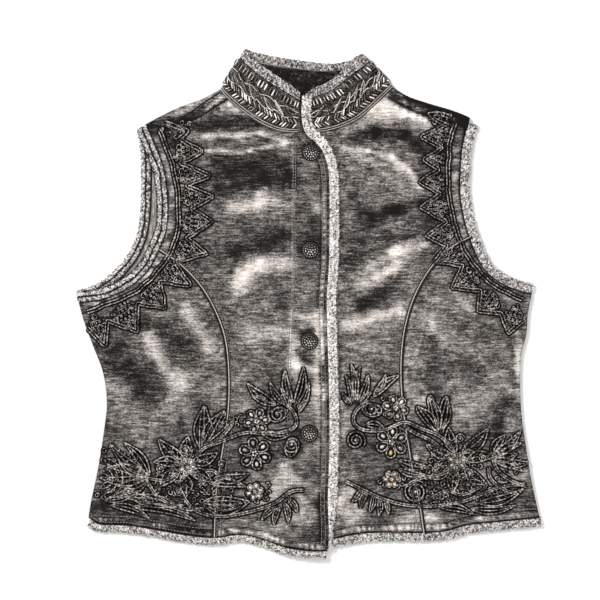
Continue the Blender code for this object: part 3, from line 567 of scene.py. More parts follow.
def nearest(points: Array, path: Array, batch: int = 6000) -> Nearest:
    """The nearest place of a path in plan to each point.

    Each point is dropped on every segment, kept within the segment's ends, and the shortest drop
    counts. The distance off is positive to the path's left.

    Args:
        points: places to measure from.
        path: points along the path.
        batch: how many places are measured at a time.

    Returns:
        Where each place lies beside the path.
    """
    points = np.asarray(points, float)[:, :2]
    start, step = path[:-1, :2], np.diff(path[:, :2], axis=0)
    size = np.sum(step * step, axis=1)
    reach = np.r_[0.0, np.cumsum(np.sqrt(size))]
    found = []
    for block in np.array_split(points, max(1, len(points) // batch)):
        gap = block[:, None] - start[None]
        share = np.clip(np.sum(gap * step, axis=2) / size, 0, 1)
        drop = gap - share[..., None] * step
        best = np.argmin(np.sum(drop * drop, axis=2), axis=1)
        rows = np.arange(len(block))
        share, drop = share[rows, best], drop[rows, best]
        turn = step[best, 0] * drop[:, 1] - step[best, 1] * drop[:, 0]
        off = np.linalg.norm(drop, axis=1) * np.where(turn < 0, -1.0, 1.0)
        along = reach[best] + share * np.sqrt(size[best])
        found.append(np.c_[off, along, block - drop])
    found = np.vstack(found)
    return Nearest(found[:, 0], found[:, 1], found[:, 2:])


def distance(points: Array, path: Array) -> Array:
    """How far each point lies from the path in plan."""
    return np.abs(nearest(points, path).off)


def inside(points: Array, loop: Array) -> Array:
    """Whether each point lies inside the loop: a ray to its right crosses it an odd time.

    Args:
        points: places in plan, in millimetres.
        loop: the outline's points, in order.

    Returns:
        True for each point inside.
    """
    x, y = points[:, 0, None], points[:, 1, None]
    x0, y0 = loop.T
    x1, y1 = np.roll(loop, -1, axis=0).T
    spans = (y0 > y) != (y1 > y)
    rise = np.where(y1 == y0, 1e-12, y1 - y0)
    return (spans & (x < x0 + (y - y0) * (x1 - x0) / rise)).sum(axis=1) % 2 == 1


def ease(value: Array | float) -> Array:
    """A soft step from 0 to 1 as the value goes from 0 to 1."""
    value = np.clip(value, 0, 1)
    return value * value * (3 - 2 * value)


def cloud(x: Array, y: Array, size: float, seed: int) -> Array:
    """Soft noise from -1 to 1: a random value at each corner of a square lattice, eased between.

    Args:
        x: places across, in millimetres.
        y: places along, in millimetres.
        size: the lattice's spacing.
        seed: picks the random values.

    Returns:
        The noise at each place.
    """
    period = 256
    table = np.random.default_rng(seed).uniform(-1, 1, (period, period))
    u, v = np.asarray(x, float) / size, np.asarray(y, float) / size
    i, j = np.floor(u).astype(int), np.floor(v).astype(int)
    p, q = ease(u - i), ease(v - j)
    i, j = i % period, j % period
    right, up = (i + 1) % period, (j + 1) % period
    low = table[i, j] * (1 - p) + table[right, j] * p
    high = table[i, up] * (1 - p) + table[right, up] * p
    return low * (1 - q) + high * q


def clouds(x: Array, y: Array, table: Sequence[tuple[float, float, int]]) -> Array:
    """The sum of clouds, each given by its strength, size and seed."""
    return sum(strength * cloud(x, y, size, seed) for strength, size, seed in table)


def curve_between(sections: Iterable, steps: int) -> Array:
    """The sections joined by a smooth curve, with the same number of steps between each two.

    Args:
        sections: the values at each section.
        steps: steps between two sections.

    Returns:
        The values at every step.
    """
    knots = np.asarray(sections, float)
    reach = np.vstack([2 * knots[0] - knots[1], knots, 2 * knots[-1] - knots[-2]])
    t = np.linspace(0, 1, steps, endpoint=False)[:, None]
    stretches = []
    for before, start, end, after in zip(reach, reach[1:], reach[2:], reach[3:]):
        chord = np.linalg.norm(end - start)
        enter = chord * (end - before) / np.linalg.norm(end - before)
        leave = chord * (after - start) / np.linalg.norm(after - start)
        stretches.append(
            (2 * t**3 - 3 * t**2 + 1) * start + (t**3 - 2 * t**2 + t) * enter
            + (3 * t**2 - 2 * t**3) * end + (t**3 - t**2) * leave
        )
    return np.vstack([*stretches, knots[-1:]])


class Side(Enum):
    """The wearer's side that a piece belongs to."""

    RIGHT = "right"
    LEFT = "left"


class Pattern:
    """The paper pattern: every edge and seam of the vest as it lies, in plan."""

    def __init__(self) -> None:
        """Reads the tables into smooth paths."""
        self.right_front_armhole = smooth(RIGHT_FRONT_ARMHOLE, FINE)
        self.right_back_armhole = smooth(RIGHT_BACK_ARMHOLE, FINE)
        self.left_armhole = smooth(LEFT_ARMHOLE, FINE)
        self.left_back_armhole = offset(self.left_armhole, -BACK_ARMHOLE_INSET)
        self.right_shoulder = smooth(RIGHT_SHOULDER, FINE)
        self.left_shoulder = smooth(LEFT_SHOULDER, FINE)
        self.right_side = smooth(RIGHT_SIDE, FINE)
        self.left_side = smooth(LEFT_SIDE, FINE)
        self.right_hem = smooth(RIGHT_HEM, FINE)
        self.left_hem = smooth(LEFT_HEM, FINE)
        self.right_princess = smooth(RIGHT_PRINCESS, FINE)
        self.left_princess = smooth(LEFT_PRINCESS, FINE)
        self.front_trim = smooth(FRONT_TRIM_MIDDLE, FINE)
        neck = curve_between([row[:2] for row in COLLAR_SECTIONS], COLLAR_FINE)
        turn = COLLAR_FRONT_ROWS * COLLAR_FINE
        self.right_neck = neck[: turn + 1]
        self.left_neck = neck[-turn - 1 :]
        self.back_neck = neck[turn:-turn]
        joined = [smooth(RIGHT_HEM), smooth(LEFT_HEM)]
        count = round(BACK_HEM_JOIN / COARSE)
        hem = np.vstack([joined[0][:-count], joined[1][count:]])
        self.back_hem = evened(offset(hem, BACK_HEM_INSET), FINE)

    def trim_half_width(self) -> Array:
        """Half the front trim's width at each of its points, which narrows above the hem.

        Returns:
            The half widths, in millimetres.
        """
        y = self.front_trim[:, 1]
        below = ease((FRONT_TRIM_NARROWS_FROM - y) / FRONT_TRIM_NARROWS_OVER)
        return (FRONT_TRIM * (1 - below) + FRONT_TRIM_END * below) / 2

    def loops(self) -> dict[str, Array]:
        """The outline of each denim panel, by its node's name.

        Returns:
            The loops, in millimetres.
        """
        half = SEAM_GAP / 2
        right_armhole = offset(self.right_front_armhole, ARMHOLE_TRIM + TRIM_GAP)
        left_armhole = offset(self.left_armhole, -ARMHOLE_TRIM - TRIM_GAP)
        right_hem = offset(self.right_hem, RIGHT_HEM_TRIM + TRIM_GAP)
        left_hem = offset(self.left_hem, LEFT_HEM_TRIM + TRIM_GAP)
        right_edge = offset(self.front_trim, -self.trim_half_width() - TRIM_GAP)
        underlap = np.array([(UNDERLAP_EDGE, -275.0), (UNDERLAP_EDGE, 200.0)])
        return {
            "front_right_centre": outline(
                offset(self.right_princess, half)[::-1], right_armhole[::-1],
                self.right_shoulder[::-1], offset(self.right_neck, NECK_GAP)[::-1],
                right_edge, right_hem[::-1]),
            "front_right_side": outline(
                right_armhole[::-1], offset(self.right_princess, -half), right_hem[::-1],
                self.right_side[::-1]),
            "front_left_centre": outline(
                underlap[::-1], left_hem, offset(self.left_princess, -half)[::-1],
                left_armhole[::-1], self.left_shoulder[::-1],
                offset(self.left_neck, NECK_GAP)),
            "front_left_side": outline(
                offset(self.left_princess, half), left_hem, self.left_side[::-1],
                left_armhole[::-1]),
            "back": outline(
                offset(self.back_neck, -SEAM_GAP), self.left_shoulder,
                offset(self.left_back_armhole, -ARMHOLE_TRIM - TRIM_GAP), self.left_side,
                offset(self.back_hem, RIGHT_HEM_TRIM + TRIM_GAP)[::-1],
                self.right_side[::-1],
                offset(self.right_back_armhole, ARMHOLE_TRIM + TRIM_GAP)[::-1],
                self.right_shoulder[::-1]),
        }


@dataclass
class Crimp:
    """A row of small puckers beside a seam, between two distances to the left of its path."""

    path: Array
    start: float
    end: float
    height: float
    length: float
    seed: int
    sway: float = 1.6
    lean: float = 0.25

    def lift(self, points: Array) -> Array:
        """How far the puckers rise, from 0 to 1, at each point.

        A half sine across the band times an uneven wave along it, whose phase a cloud shifts.

        Args:
            points: places in plan, in millimetres.

        Returns:
            The share of the puckers' height at each place.
        """
        beside = nearest(points, self.path)
        share = np.clip((beside.off - self.start) / (self.end - self.start), 0, 1)
        across = np.sin(math.pi * share) ** 0.7
        sway = self.sway * cloud(beside.along, points[:, 0] * 0, self.length * 1.7, self.seed)
        lean = self.lean * (beside.off - self.start)
        wave = 0.5 + 0.5 * np.sin(2 * math.pi * (beside.along + lean) / self.length + 3 * sway)
        fade = 0.6 + 0.5 * cloud(beside.along, points[:, 0] * 0, self.length * 2.3, self.seed + 9)
        return across * wave * fade


@dataclass
class FrontCloth:
    """The cloth of both fronts as a height over the plan, with its creases, seams and puckers."""

    pattern: Pattern
    spacing: float = FINE
    valley_shade: float = 0.5
    crest_wear_and_highlight: float = 0.85
    foot_shade: float = 0.2
    foot_reach: float = 8.0
    seam_ends: float = 14.0
    bridge: float = 1.5

    def __post_init__(self) -> None:
        """Works out the smooth puff once on a lattice, and lists the seams and puckers."""
        pattern = self.pattern
        self.low = np.array(LATTICE_LOW)
        xs, ys = (np.arange(a, b, self.spacing) for a, b in zip(LATTICE_LOW, LATTICE_HIGH))
        x, y = np.meshgrid(xs, ys)
        points = np.stack([x.ravel(), y.ravel()], axis=1)
        self.lattice = self.rounded(points).reshape(x.shape)
        right, left = pattern.right_princess, pattern.left_princess
        edge = offset(pattern.front_trim, -pattern.trim_half_width())
        # Path, depth and half-width of each valley in the cloth
        self.valleys = {
            Side.RIGHT: (
                (offset(edge, -2.4), 0.5, 0.8), (offset(edge, -9.0), 0.6, 0.9),
                (offset(pattern.right_front_armhole, 10.0), 0.9, 1.0),
                (offset(pattern.right_hem, 7.4), 1.0, 1.2),
                (offset(pattern.right_hem, 16.0), 0.5, 0.9),
                (smooth(RIGHT_SHOULDER_SEAM, FINE), 1.3, 1.6),
            ),
            Side.LEFT: (
                (offset(pattern.left_armhole, -10.0), 0.9, 1.0),
                (offset(pattern.left_hem, 8.9), 1.0, 1.2),
                (offset(pattern.left_hem, 18.0), 0.5, 0.9),
                (smooth(LEFT_SHOULDER_SEAM, FINE), 1.3, 1.6),
            ),
        }
        self.crimps = {
            Side.RIGHT: (
                Crimp(pattern.right_front_armhole, 10.5, 21.0, 0.8, 11.0, 3),
                Crimp(edge, -8.6, -2.8, 0.8, 6.5, 4),
                Crimp(pattern.right_hem, 7.5, 16.0, 1.0, 8.0, 5),
                Crimp(smooth(RIGHT_SHOULDER_SEAM, FINE), 0.5, 9.0, 1.5, 9.5, 6),
                Crimp(smooth(RIGHT_SHOULDER_SEAM, FINE), -9.0, -0.5, 0.9, 12.0, 7),
                Crimp(right, -8.0, -0.5, 0.55, 8.0, 8),
            ),
            Side.LEFT: (
                Crimp(pattern.left_armhole, -21.0, -10.5, 0.5, 14.0, 13),
                Crimp(pattern.left_hem, 9.0, 18.0, 1.1, 6.5, 15),
                Crimp(smooth(LEFT_SHOULDER_SEAM, FINE), -9.0, -0.5, 1.5, 9.5, 16),
                Crimp(smooth(LEFT_SHOULDER_SEAM, FINE), 0.5, 9.0, 0.9, 12.0, 17),
                Crimp(left, 0.5, 8.0, 0.55, 8.0, 18),
            ),
        }

    def rounded(self, points: Array) -> Array:
        """How far the front's cloth stands off its base at each point.

        It rounds down towards every edge, and each crease adds a Gaussian ridge along a line.

        Args:
            points: places in plan, in millimetres.

        Returns:
            The heights, in millimetres.
        """
        edges = [smooth(edge) for edge in (
            RIGHT_SHOULDER, LEFT_SHOULDER, RIGHT_FRONT_ARMHOLE, LEFT_ARMHOLE,
            RIGHT_SIDE, LEFT_SIDE, RIGHT_HEM, LEFT_HEM)]
        edges += [self.pattern.right_neck, self.pattern.left_neck]
        edge = np.min([distance(points, path) for path in edges], axis=0)
        ridges = np.zeros(len(points))
        for from_x, from_y, to_x, to_y, half_width, rise in FOLDS:
            crease = np.array([[from_x, from_y], [to_x, to_y]], float)
            ridges += rise * np.exp(-((distance(points, crease) / half_width) ** 2))
        calm = ease((np.abs(points[:, 0] - PLACKET_MIDDLE) - PLACKET_CALM) / PLACKET_FADE)
        top = PUFF * (1 - np.exp(-((edge / PUFF_REACH) ** 2)))
        return np.maximum(top + calm * ease(edge / PUFF_REACH) * ridges, 0.0)

    def puff(self, points: Array) -> Array:
        """The rounded height read from the lattice, straight between its corners.

        Args:
            points: places in plan, in millimetres.

        Returns:
            The heights, in millimetres.
        """
        rows, columns = self.lattice.shape
        place = (np.asarray(points)[:, :2] - self.low) / self.spacing
        i = np.clip(place.astype(int), 0, (columns - 2, rows - 2))
        p, q = (place - i).T
        column, row = i.T
        below = self.lattice[row, column] * (1 - p) + self.lattice[row, column + 1] * p
        above = self.lattice[row + 1, column] * (1 - p) + self.lattice[row + 1, column + 1] * p
        return below * (1 - q) + above * q

    def underside(self, points: Array, side: Side) -> Array:
        """Height of a front's underside. The right front climbs onto the left front's edge.

        Args:
            points: places in plan, in millimetres.
            side: the front that it is about.

        Returns:
            The heights, in millimetres.
        """
        lap = ease((np.asarray(points)[:, 0] - LAP_STARTS) / LAP_OVER)
        lift = OVERLAP_LIFT * lap if side is Side.RIGHT else 0.0
        return FRONT_BASE + self.puff(points) + lift

    def relief(self, points: Array, side: Side) -> tuple[Array, Array]:
        """The fine relief on top of the puff, and the change of tone there: painted shade in the
        valleys and at the puckers' feet, and paler crests that are partly wear and partly painted
        highlight.

        Args:
            points: places in plan, in millimetres.
            side: the front that it is about.

        Returns:
            The rise in millimetres, and the change of tone.
        """
        rise, wear_and_shade = np.zeros(len(points)), np.zeros(len(points))
        for path, depth, half_width in self.valleys[side]:
            dip = np.exp(-((distance(points, path) / half_width) ** 2))
            rise -= depth * dip
            # Painted shade darkens the cloth along each valley.
            wear_and_shade -= self.valley_shade * min(1.0, depth) * dip
        for crimp in self.crimps[side]:
            lift = crimp.lift(points)
            rise += crimp.height * lift
            # Paler puckers' crests, partly wear and partly painted highlight, with painted shade
            # at their feet.
            foot = self.foot_shade * np.minimum(1.0, self.foot_reach * lift)
            wear_and_shade += min(1.0, crimp.height) * (self.crest_wear_and_highlight * lift - foot)
        return rise + clouds(*points[:, :2].T, RIPPLES), wear_and_shade

    def clipped(self, paths: Sequence[Array], side: Side) -> list[Array]:
        """The stretches of paths on one front, with its seam's gap bridged.

        Args:
            paths: each path in plan.
            side: the front that it is about.

        Returns:
            The stretches, in plan.
        """
        loops = self.pattern.loops()
        name = f"front_{side.value}"
        seam = evened(getattr(self.pattern, f"{side.value}_princess"), 2.0)
        along = lengths(seam)
        seam = seam[(along > self.seam_ends) & (along < along[-1] - self.seam_ends)]
        bridge = np.vstack([offset(seam, self.bridge), offset(seam, -self.bridge)[::-1]])
        return kept_inside(paths, [loops[f"{name}_centre"], loops[f"{name}_side"], bridge])

    def top(self, points: Array, side: Side) -> Array:
        """Height of a front's outer face at each point."""
        return self.underside(points, side) + CLOTH + self.relief(points, side)[0]


@dataclass
class WashAndPaintedLight:
    """The denim's tone: its uneven wash with painted fold light and painted shadows. 0 is the dark
    that the dye left, 1 the palest wear and painted highlight.
    """

    cords: Sequence[Array]
    ground: float = 0.42
    ragged: float = 0.4
    shaken_whole: float = 9.0
    darkened_by_stitches_and_shade: float = 0.12
    cell: float = 2.0
    cells: tuple[int, int] = (264, 252)
    spread: float = 2.0
    covering: float = 0.55

    def __post_init__(self) -> None:
        """Works out on a lattice how much of the cloth the cords cover.

        Each cord's points are counted in cells, the counts are spread with a Gaussian, and the
        cover is one minus the exponential of minus that.
        """
        self.low = np.array(LATTICE_LOW)
        points = np.vstack([evened(path[:, :2], self.cell / 2) for path in self.cords])
        column, row = ((points - self.low) / self.cell).astype(int).T
        counts = np.zeros(self.cells)
        np.add.at(counts, (row, column), 1.0)
        reach = round(2 * self.spread)
        kernel = np.exp(-(np.arange(-reach, reach + 1) / self.spread) ** 2)
        for axis in (0, 1):
            counts = np.apply_along_axis(np.convolve, axis, counts, kernel / kernel.sum(), "same")
        self.cover = 1 - np.exp(-counts / self.covering)

    def worked(self, points: Array) -> Array:
        """How much of the cloth the cords cover about each point, from 0 to 1.

        Args:
            points: places in plan, in millimetres.

        Returns:
            The share that is covered at each place.
        """
        last = np.array(self.cells[::-1]) - 1
        column, row = np.clip((points[:, :2] - self.low) / self.cell, 0, last).astype(int).T
        return self.cover[row, column]

    def tone(self, points: Array) -> Array:
        """A ground tone, clouds of four sizes, and the streaks: wash that the creases took, with
        painted fold light and painted shadows.

        The places are first shaken by clouds, so that each streak wanders as a crease does.

        Args:
            points: places in plan, in millimetres.

        Returns:
            The tone at each place.
        """
        x, y = points[:, 0], points[:, 1]
        shake = np.stack([clouds(x, y, SHAKES_ACROSS), clouds(x, y, SHAKES_ALONG)], axis=1)
        tone = self.ground + clouds(x, y, MOTTLES)
        ragged = 1 + self.ragged * cloud(x, y, 14.0, 34)
        for from_x, from_y, to_x, to_y, half_width, amount in STREAKS_OF_WASH_AND_PAINTED_LIGHT:
            line = np.array([[from_x, from_y], [to_x, to_y]], float)
            moved = points + min(1.0, half_width / self.shaken_whole) * shake
            off = distance(moved, line) / (half_width * ragged)
            tone += amount * np.exp(-(off ** 2))
        # Darker where the cords crowd: partly the dense dark stitching, partly painted shade round
        # the cords.
        return tone - self.darkened_by_stitches_and_shade * self.worked(points)


@dataclass
class Form:
    """Points in millimetres with the faces between them, and values carried by each point."""

    points: Array
    faces: list[Array]
    values: dict[str, Array] = field(default_factory=dict)

    def turned_out(self) -> "Form":
        """The same form with its faces pointing out, by the sign of its volume.

        Returns:
            The form itself.
        """
        volume = 0.0
        for face in self.faces:
            a, b = self.points[face[:, 0]], self.points[face[:, 1]]
            for k in range(2, face.shape[1]):
                volume += np.sum(a * np.cross(b, self.points[face[:, k]]))
                b = self.points[face[:, k]]
        if volume < 0:
            self.faces = [face[:, ::-1] for face in self.faces]
        return self


def joined(forms: Sequence[Form]) -> Form:
    """Several forms as one.

    Args:
        forms: forms whose points carry the same values.

    Returns:
        One form with all their points, faces and values.
    """
    starts = np.cumsum([0] + [len(form.points) for form in forms[:-1]])
    faces = [face + start for form, start in zip(forms, starts) for face in form.faces]
    by_size = [np.vstack([f for f in faces if f.shape[1] == n])
               for n in sorted({f.shape[1] for f in faces})]
    names = forms[0].values
    values = {name: np.concatenate([form.values[name] for form in forms]) for name in names}
    return Form(np.vstack([form.points for form in forms]), by_size, values)


def grid_faces(rows: int, columns: int) -> Array:
    """The quads of a grid whose points are stored row by row.

    Args:
        rows: number of rows.
        columns: number of points in a row.

    Returns:
        The four points of each quad, by number.
    """
    index = np.arange(rows * columns).reshape(rows, columns)
    corners = (index[:-1, :-1], index[:-1, 1:], index[1:, 1:], index[1:, :-1])
    return np.stack([corner.ravel() for corner in corners], axis=1)


def closed_shell(lower: Array, upper: Array, faces: Array, values: dict[str, Array]) -> Form:
    """A closed wall between two sheets of points that share their faces.

    The sheets' faces look away from each other, and a quad closes each edge that only one face
    of the sheet has.

    Args:
        lower: points of the under sheet.
        upper: points of the outer sheet, one over each of the others.
        faces: quads of the outer sheet, anticlockwise from outside.
        values: values of the outer sheet's points, which the under sheet takes as well.

    Returns:
        The closed form.
    """
    size = len(lower)
    edges = np.concatenate([faces[:, [k, (k + 1) % 4]] for k in range(4)])
    edges = edges[edges[:, 0] != edges[:, 1]]
    key = np.sort(edges, axis=1)
    _, index, count = np.unique(key, axis=0, return_inverse=True, return_counts=True)
    rim = edges[count[index.ravel()] == 1]
    sides = np.c_[rim[:, 1], rim[:, 0], rim[:, 0] + size, rim[:, 1] + size]
    both = {name: np.r_[value, value] for name, value in values.items()}
    both["face"] = np.r_[np.ones(size), np.zeros(size)]
    faces = np.vstack([faces, faces[:, ::-1] + size, sides])
    return Form(np.vstack([upper, lower]), [faces], both)


def kept_inside(paths: Sequence[Array], loops: Sequence[Array], least: int = 3) -> list[Array]:
    """The stretches of paths that lie inside any of the loops.

    Args:
        paths: each path, in plan or in space.
        loops: outlines in plan.
        least: the fewest points that a stretch is kept with.

    Returns:
        The stretches.
    """
    counts = [len(path) for path in paths]
    points = np.vstack([path[:, :2] for path in paths])
    within = np.any([inside_batches(points, loop) for loop in loops], axis=0)
    kept = []
    for path, mask in zip(paths, np.split(within, np.cumsum(counts)[:-1])):
        starts = np.flatnonzero(np.diff(np.r_[False, mask, False].astype(int)))
        kept += [path[a:b] for a, b in starts.reshape(-1, 2) if b - a >= least]
    return kept


def trimmed_grid(loop: Array, spacing: float) -> tuple[Array, Array]:
    """A square grid cut to a loop.

    Every cell with a corner inside the loop is kept, and its corners outside are drawn in to the
    loop's nearest place.

    Args:
        loop: the outline to fill.
        spacing: size of a cell.

    Returns:
        The points, and the quads between them.
    """
    closed = np.vstack([loop, loop[:1]])
    low, high = loop.min(axis=0) - 1.5 * spacing, loop.max(axis=0) + 1.5 * spacing
    x, y = np.meshgrid(np.arange(low[0], high[0], spacing), np.arange(low[1], high[1], spacing))
    points = np.stack([x.ravel(), y.ravel()], axis=1)
    within = inside_batches(points, loop)
    faces = grid_faces(*x.shape)
    faces = faces[within[faces].any(axis=1)]
    used, index = np.unique(faces, return_inverse=True)
    points, within = points[used], within[used]
    points[~within] = nearest(points[~within], closed).place
    return points, index.reshape(faces.shape)


def inside_batches(points: Array, loop: Array) -> Array:
    """Whether each point lies inside the loop, a batch of points at a time."""
    blocks = np.array_split(points, max(1, len(points) // 8000))
    return np.concatenate([inside(block, loop) for block in blocks])


def tube(path: Array, radius: float | Array, sides: int = 6, flat: float = 1.0,
         shade: float = 1.0) -> Form:
    """A round cord along a path, closed by a point at each end.

    Each ring is a circle of the radius about its path point, in the plane of the path's sideways
    direction and the one that completes the frame. It carries its crown, from 0 under the cord to
    the shade on top, its turn about the cord and its distance along it.

    Args:
        path: points along the cord's middle.
        radius: one, or one for each point.
        sides: corners of each ring.
        flat: height of a ring as a share of its width.
        shade: the crown's value on top.

    Returns:
        The closed cord.
    """
    ahead = np.gradient(path, axis=0)
    ahead /= np.maximum(np.linalg.norm(ahead, axis=1, keepdims=True), 1e-9)
    side = np.cross(ahead, [0.0, 0.0, 1.0])
    side /= np.maximum(np.linalg.norm(side, axis=1, keepdims=True), 1e-6)
    up = np.cross(side, ahead)
    turns = np.linspace(0, 2 * math.pi, sides, endpoint=False) - math.pi / 2
    radius = np.broadcast_to(radius, len(path)).astype(float).copy()
    radius[[0, -1]] *= 0.6
    across = np.cos(turns)[None, :, None] * side[:, None]
    above = flat * np.sin(turns)[None, :, None] * up[:, None]
    rings = path[:, None] + radius[:, None, None] * (across + above)
    index = np.arange(len(path) * sides).reshape(len(path), sides)
    after = np.roll(index, -1, axis=1)
    quads = np.stack([index[:-1], after[:-1], after[1:], index[1:]], axis=-1).reshape(-1, 4)
    first, last = len(path) * sides, len(path) * sides + 1
    ends = np.vstack([
        np.c_[after[0], index[0], np.full(sides, first)],
        np.c_[index[-1], after[-1], np.full(sides, last)],
    ])
    points = np.vstack([rings.reshape(-1, 3), path[0] - ahead[0] * radius[0] * 0.6,
                        path[-1] + ahead[-1] * radius[-1] * 0.6])
    along = lengths(path)
    values = {
        # The finishes paint light from the crown: painted shade under the cord, a painted
        # highlight on top.
        "crown": shade * np.r_[np.tile(0.5 + 0.5 * np.sin(turns), len(path)), 0.5, 0.5],
        "turn": np.r_[np.tile(np.arange(sides) / sides, len(path)), 0.5, 0.5],
        "along": np.r_[np.repeat(along, sides), 0.0, along[-1]],
    }
    return Form(points, [quads, ends], values).turned_out()


def tubes(paths: Sequence[Array], radius: float | Sequence[float], sides: int = 6,
          flat: float = 1.0, shade: float | Sequence[float] = 1.0) -> Form:
    """Many cords as one form.

    Args:
        paths: points along each cord's middle.
        radius: one, or one for each cord.
        sides: corners of each ring.
        flat: height of a ring as a share of its width.
        shade: one crown's value on top, or one for each cord.

    Returns:
        All the cords.
    """
    radii, shades = (np.broadcast_to(value, len(paths)) for value in (radius, shade))
    return joined([tube(path, r, sides, flat, k)
                   for path, r, k in zip(paths, radii, shades) if len(path) > 1])


def cords_with_painted_shadow(paths: Sequence[Array], radius: float | Sequence[float], spread: float,
            shade: float | Sequence[float] = 1.0) -> Form:
    """Cords over a flat dark row that stands in for their painted shadow and shows on both their
    sides.

    Args:
        paths: points along each cord's middle.
        radius: one, or one for each cord.
        spread: how far the painted shadow shows past the cord.
        shade: one crown's value on top, or one for each cord.

    Returns:
        The cords with their painted shadows.
    """
    radii = np.broadcast_to(radius, len(paths))
    under = [path - (0.0, 0.0, 0.6 * r) for path, r in zip(paths, radii)]
    return joined([tubes(paths, radii, 6, 1.0, shade),
                   tubes(under, radii + spread, 4, SHADOW_ROW_FLATNESS, 0.0)])


def make(name: str, form: Form, material: bpy.types.Material,
         nodes: Sequence[str] = (), sharp: float | None = None) -> bpy.types.Object:
    """Puts a form into a mesh object, dresses it and hands it to the frame.

    Nothing of it sinks below the surface that the vest lies on.

    Args:
        name: the piece's name.
        form: the points, faces and values.
        material: what it is dressed with.
        nodes: solids that the piece stands for.
        sharp: angle in degrees past which an edge isn't smoothed over, or None.

    Returns:
        The new object.
    """
    form.points[:, 2] = np.maximum(form.points[:, 2], 0.0)
    mesh = bpy.data.meshes.new(name)
    mesh.vertices.add(len(form.points))
    mesh.vertices.foreach_set("co", (form.points * METRES).astype(np.float32).ravel())
    corners = np.concatenate([face.ravel() for face in form.faces]).astype(np.int32)
    sizes = np.concatenate([np.full(len(face), face.shape[1]) for face in form.faces])
    mesh.loops.add(len(corners))
    mesh.loops.foreach_set("vertex_index", corners)
    mesh.polygons.add(len(sizes))
    mesh.polygons.foreach_set("loop_start", np.r_[0, np.cumsum(sizes)[:-1]].astype(np.int32))
    mesh.update(calc_edges=True)
    for value, numbers in form.values.items():
        layer = mesh.attributes.new(value, "FLOAT", "POINT")
        layer.data.foreach_set("value", numbers.astype(np.float32))
    mesh.validate()
    mesh.shade_smooth()
    if sharp is not None:
        mesh.set_sharp_from_angle(angle=math.radians(sharp))
    mesh.materials.append(material)
    obj = bpy.data.objects.new(name, mesh)
    bpy.context.scene.collection.objects.link(obj)
    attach(obj, "root")
    if nodes:
        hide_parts(*nodes)
    LOG.info("%s: %d faces", name, len(sizes))
    return obj


class Nodes:
    """Adds shader nodes to a tree and joins them."""

    def __init__(self, tree: bpy.types.NodeTree) -> None:
        """Keeps the tree."""
        self.tree = tree

    def add(self, kind: str, inputs: dict | None = None, **settings: object) -> bpy.types.Node:
        """A new node.

        Args:
            kind: the node's type, without its ShaderNode prefix.
            inputs: values or sockets, by the name or number of the input.
            settings: properties of the node itself.

        Returns:
            The node.
        """
        node = self.tree.nodes.new("ShaderNode" + kind)
        for setting, value in settings.items():
            setattr(node, setting, value)
        self.feed(node, inputs or {})
        return node

    def feed(self, node: bpy.types.Node, inputs: dict) -> None:
        """Gives a node its inputs.

        Args:
            node: the node that takes them.
            inputs: values or sockets, by the name or number of the input.
        """
        for socket, value in inputs.items():
            if isinstance(value, bpy.types.NodeSocket):
                self.tree.links.new(value, node.inputs[socket])
            else:
                node.inputs[socket].default_value = value

    def math(self, operation: str, *values: object) -> bpy.types.NodeSocket:
        """The result of a Math node."""
        return self.add("Math", dict(enumerate(values)), operation=operation).outputs[0]

    def shaken(self, base: bpy.types.NodeSocket, mask: bpy.types.NodeSocket, amount: float,
               middle: float = 0.5) -> bpy.types.NodeSocket:
        """The base moved up and down by a mask about its middle."""
        return self.math("MULTIPLY_ADD", self.math("SUBTRACT", mask, middle), amount, base)

    def value(self, attribute: str) -> bpy.types.NodeSocket:
        """A value that the mesh's points carry."""
        return self.add("Attribute", attribute_name=attribute).outputs["Fac"]

    def noise(self, place: bpy.types.NodeSocket, scale: tuple, detail: float = 2.0,
              rough: float = 0.55) -> bpy.types.NodeSocket:
        """Noise whose grains are one over the scale in metres each way.

        Args:
            place: the coordinates.
            scale: grains in a metre, each way.
            detail: octaves of the noise.
            rough: strength of its finer octaves.

        Returns:
            The noise, from 0 to 1.
        """
        at = self.add("Mapping", {"Vector": place, "Scale": scale})
        return self.add("TexNoise", {"Vector": at.outputs[0], "Scale": 1.0, "Detail": detail,
                                     "Roughness": rough}).outputs["Fac"]

    def ramp(self, value: bpy.types.NodeSocket, stops: Sequence[tuple]) -> bpy.types.NodeSocket:
        """Colours along a value. Each stop is a position and a colour.

        Args:
            value: what is looked up.
            stops: positions with their colours.

        Returns:
            The colour.
        """
        node = self.add("ValToRGB", {0: value})
        elements = node.color_ramp.elements
        while len(elements) < len(stops):
            elements.new(0.5)
        for element, (position, colour) in zip(elements, stops):
            element.position = position
            element.color = (*colour, 1.0)
        return node.outputs["Color"]


def new_group(name: str, inputs: Sequence[tuple[str, str]],
              outputs: Sequence[tuple[str, str]]) -> tuple[Nodes, dict, bpy.types.Node]:
    """An empty shader node group with its sockets.

    Args:
        name: the group's name.
        inputs: name and kind of each input.
        outputs: name and kind of each output.

    Returns:
        Its nodes, its input sockets by name, and its output node.
    """
    group = bpy.data.node_groups.new(name, "ShaderNodeTree")
    for in_out, sockets in (("INPUT", inputs), ("OUTPUT", outputs)):
        for socket, kind in sockets:
            group.interface.new_socket(socket, in_out=in_out, socket_type="NodeSocket" + kind)
    nodes = Nodes(group)
    entry = group.nodes.new("NodeGroupInput")
    return nodes, entry.outputs, group.nodes.new("NodeGroupOutput")


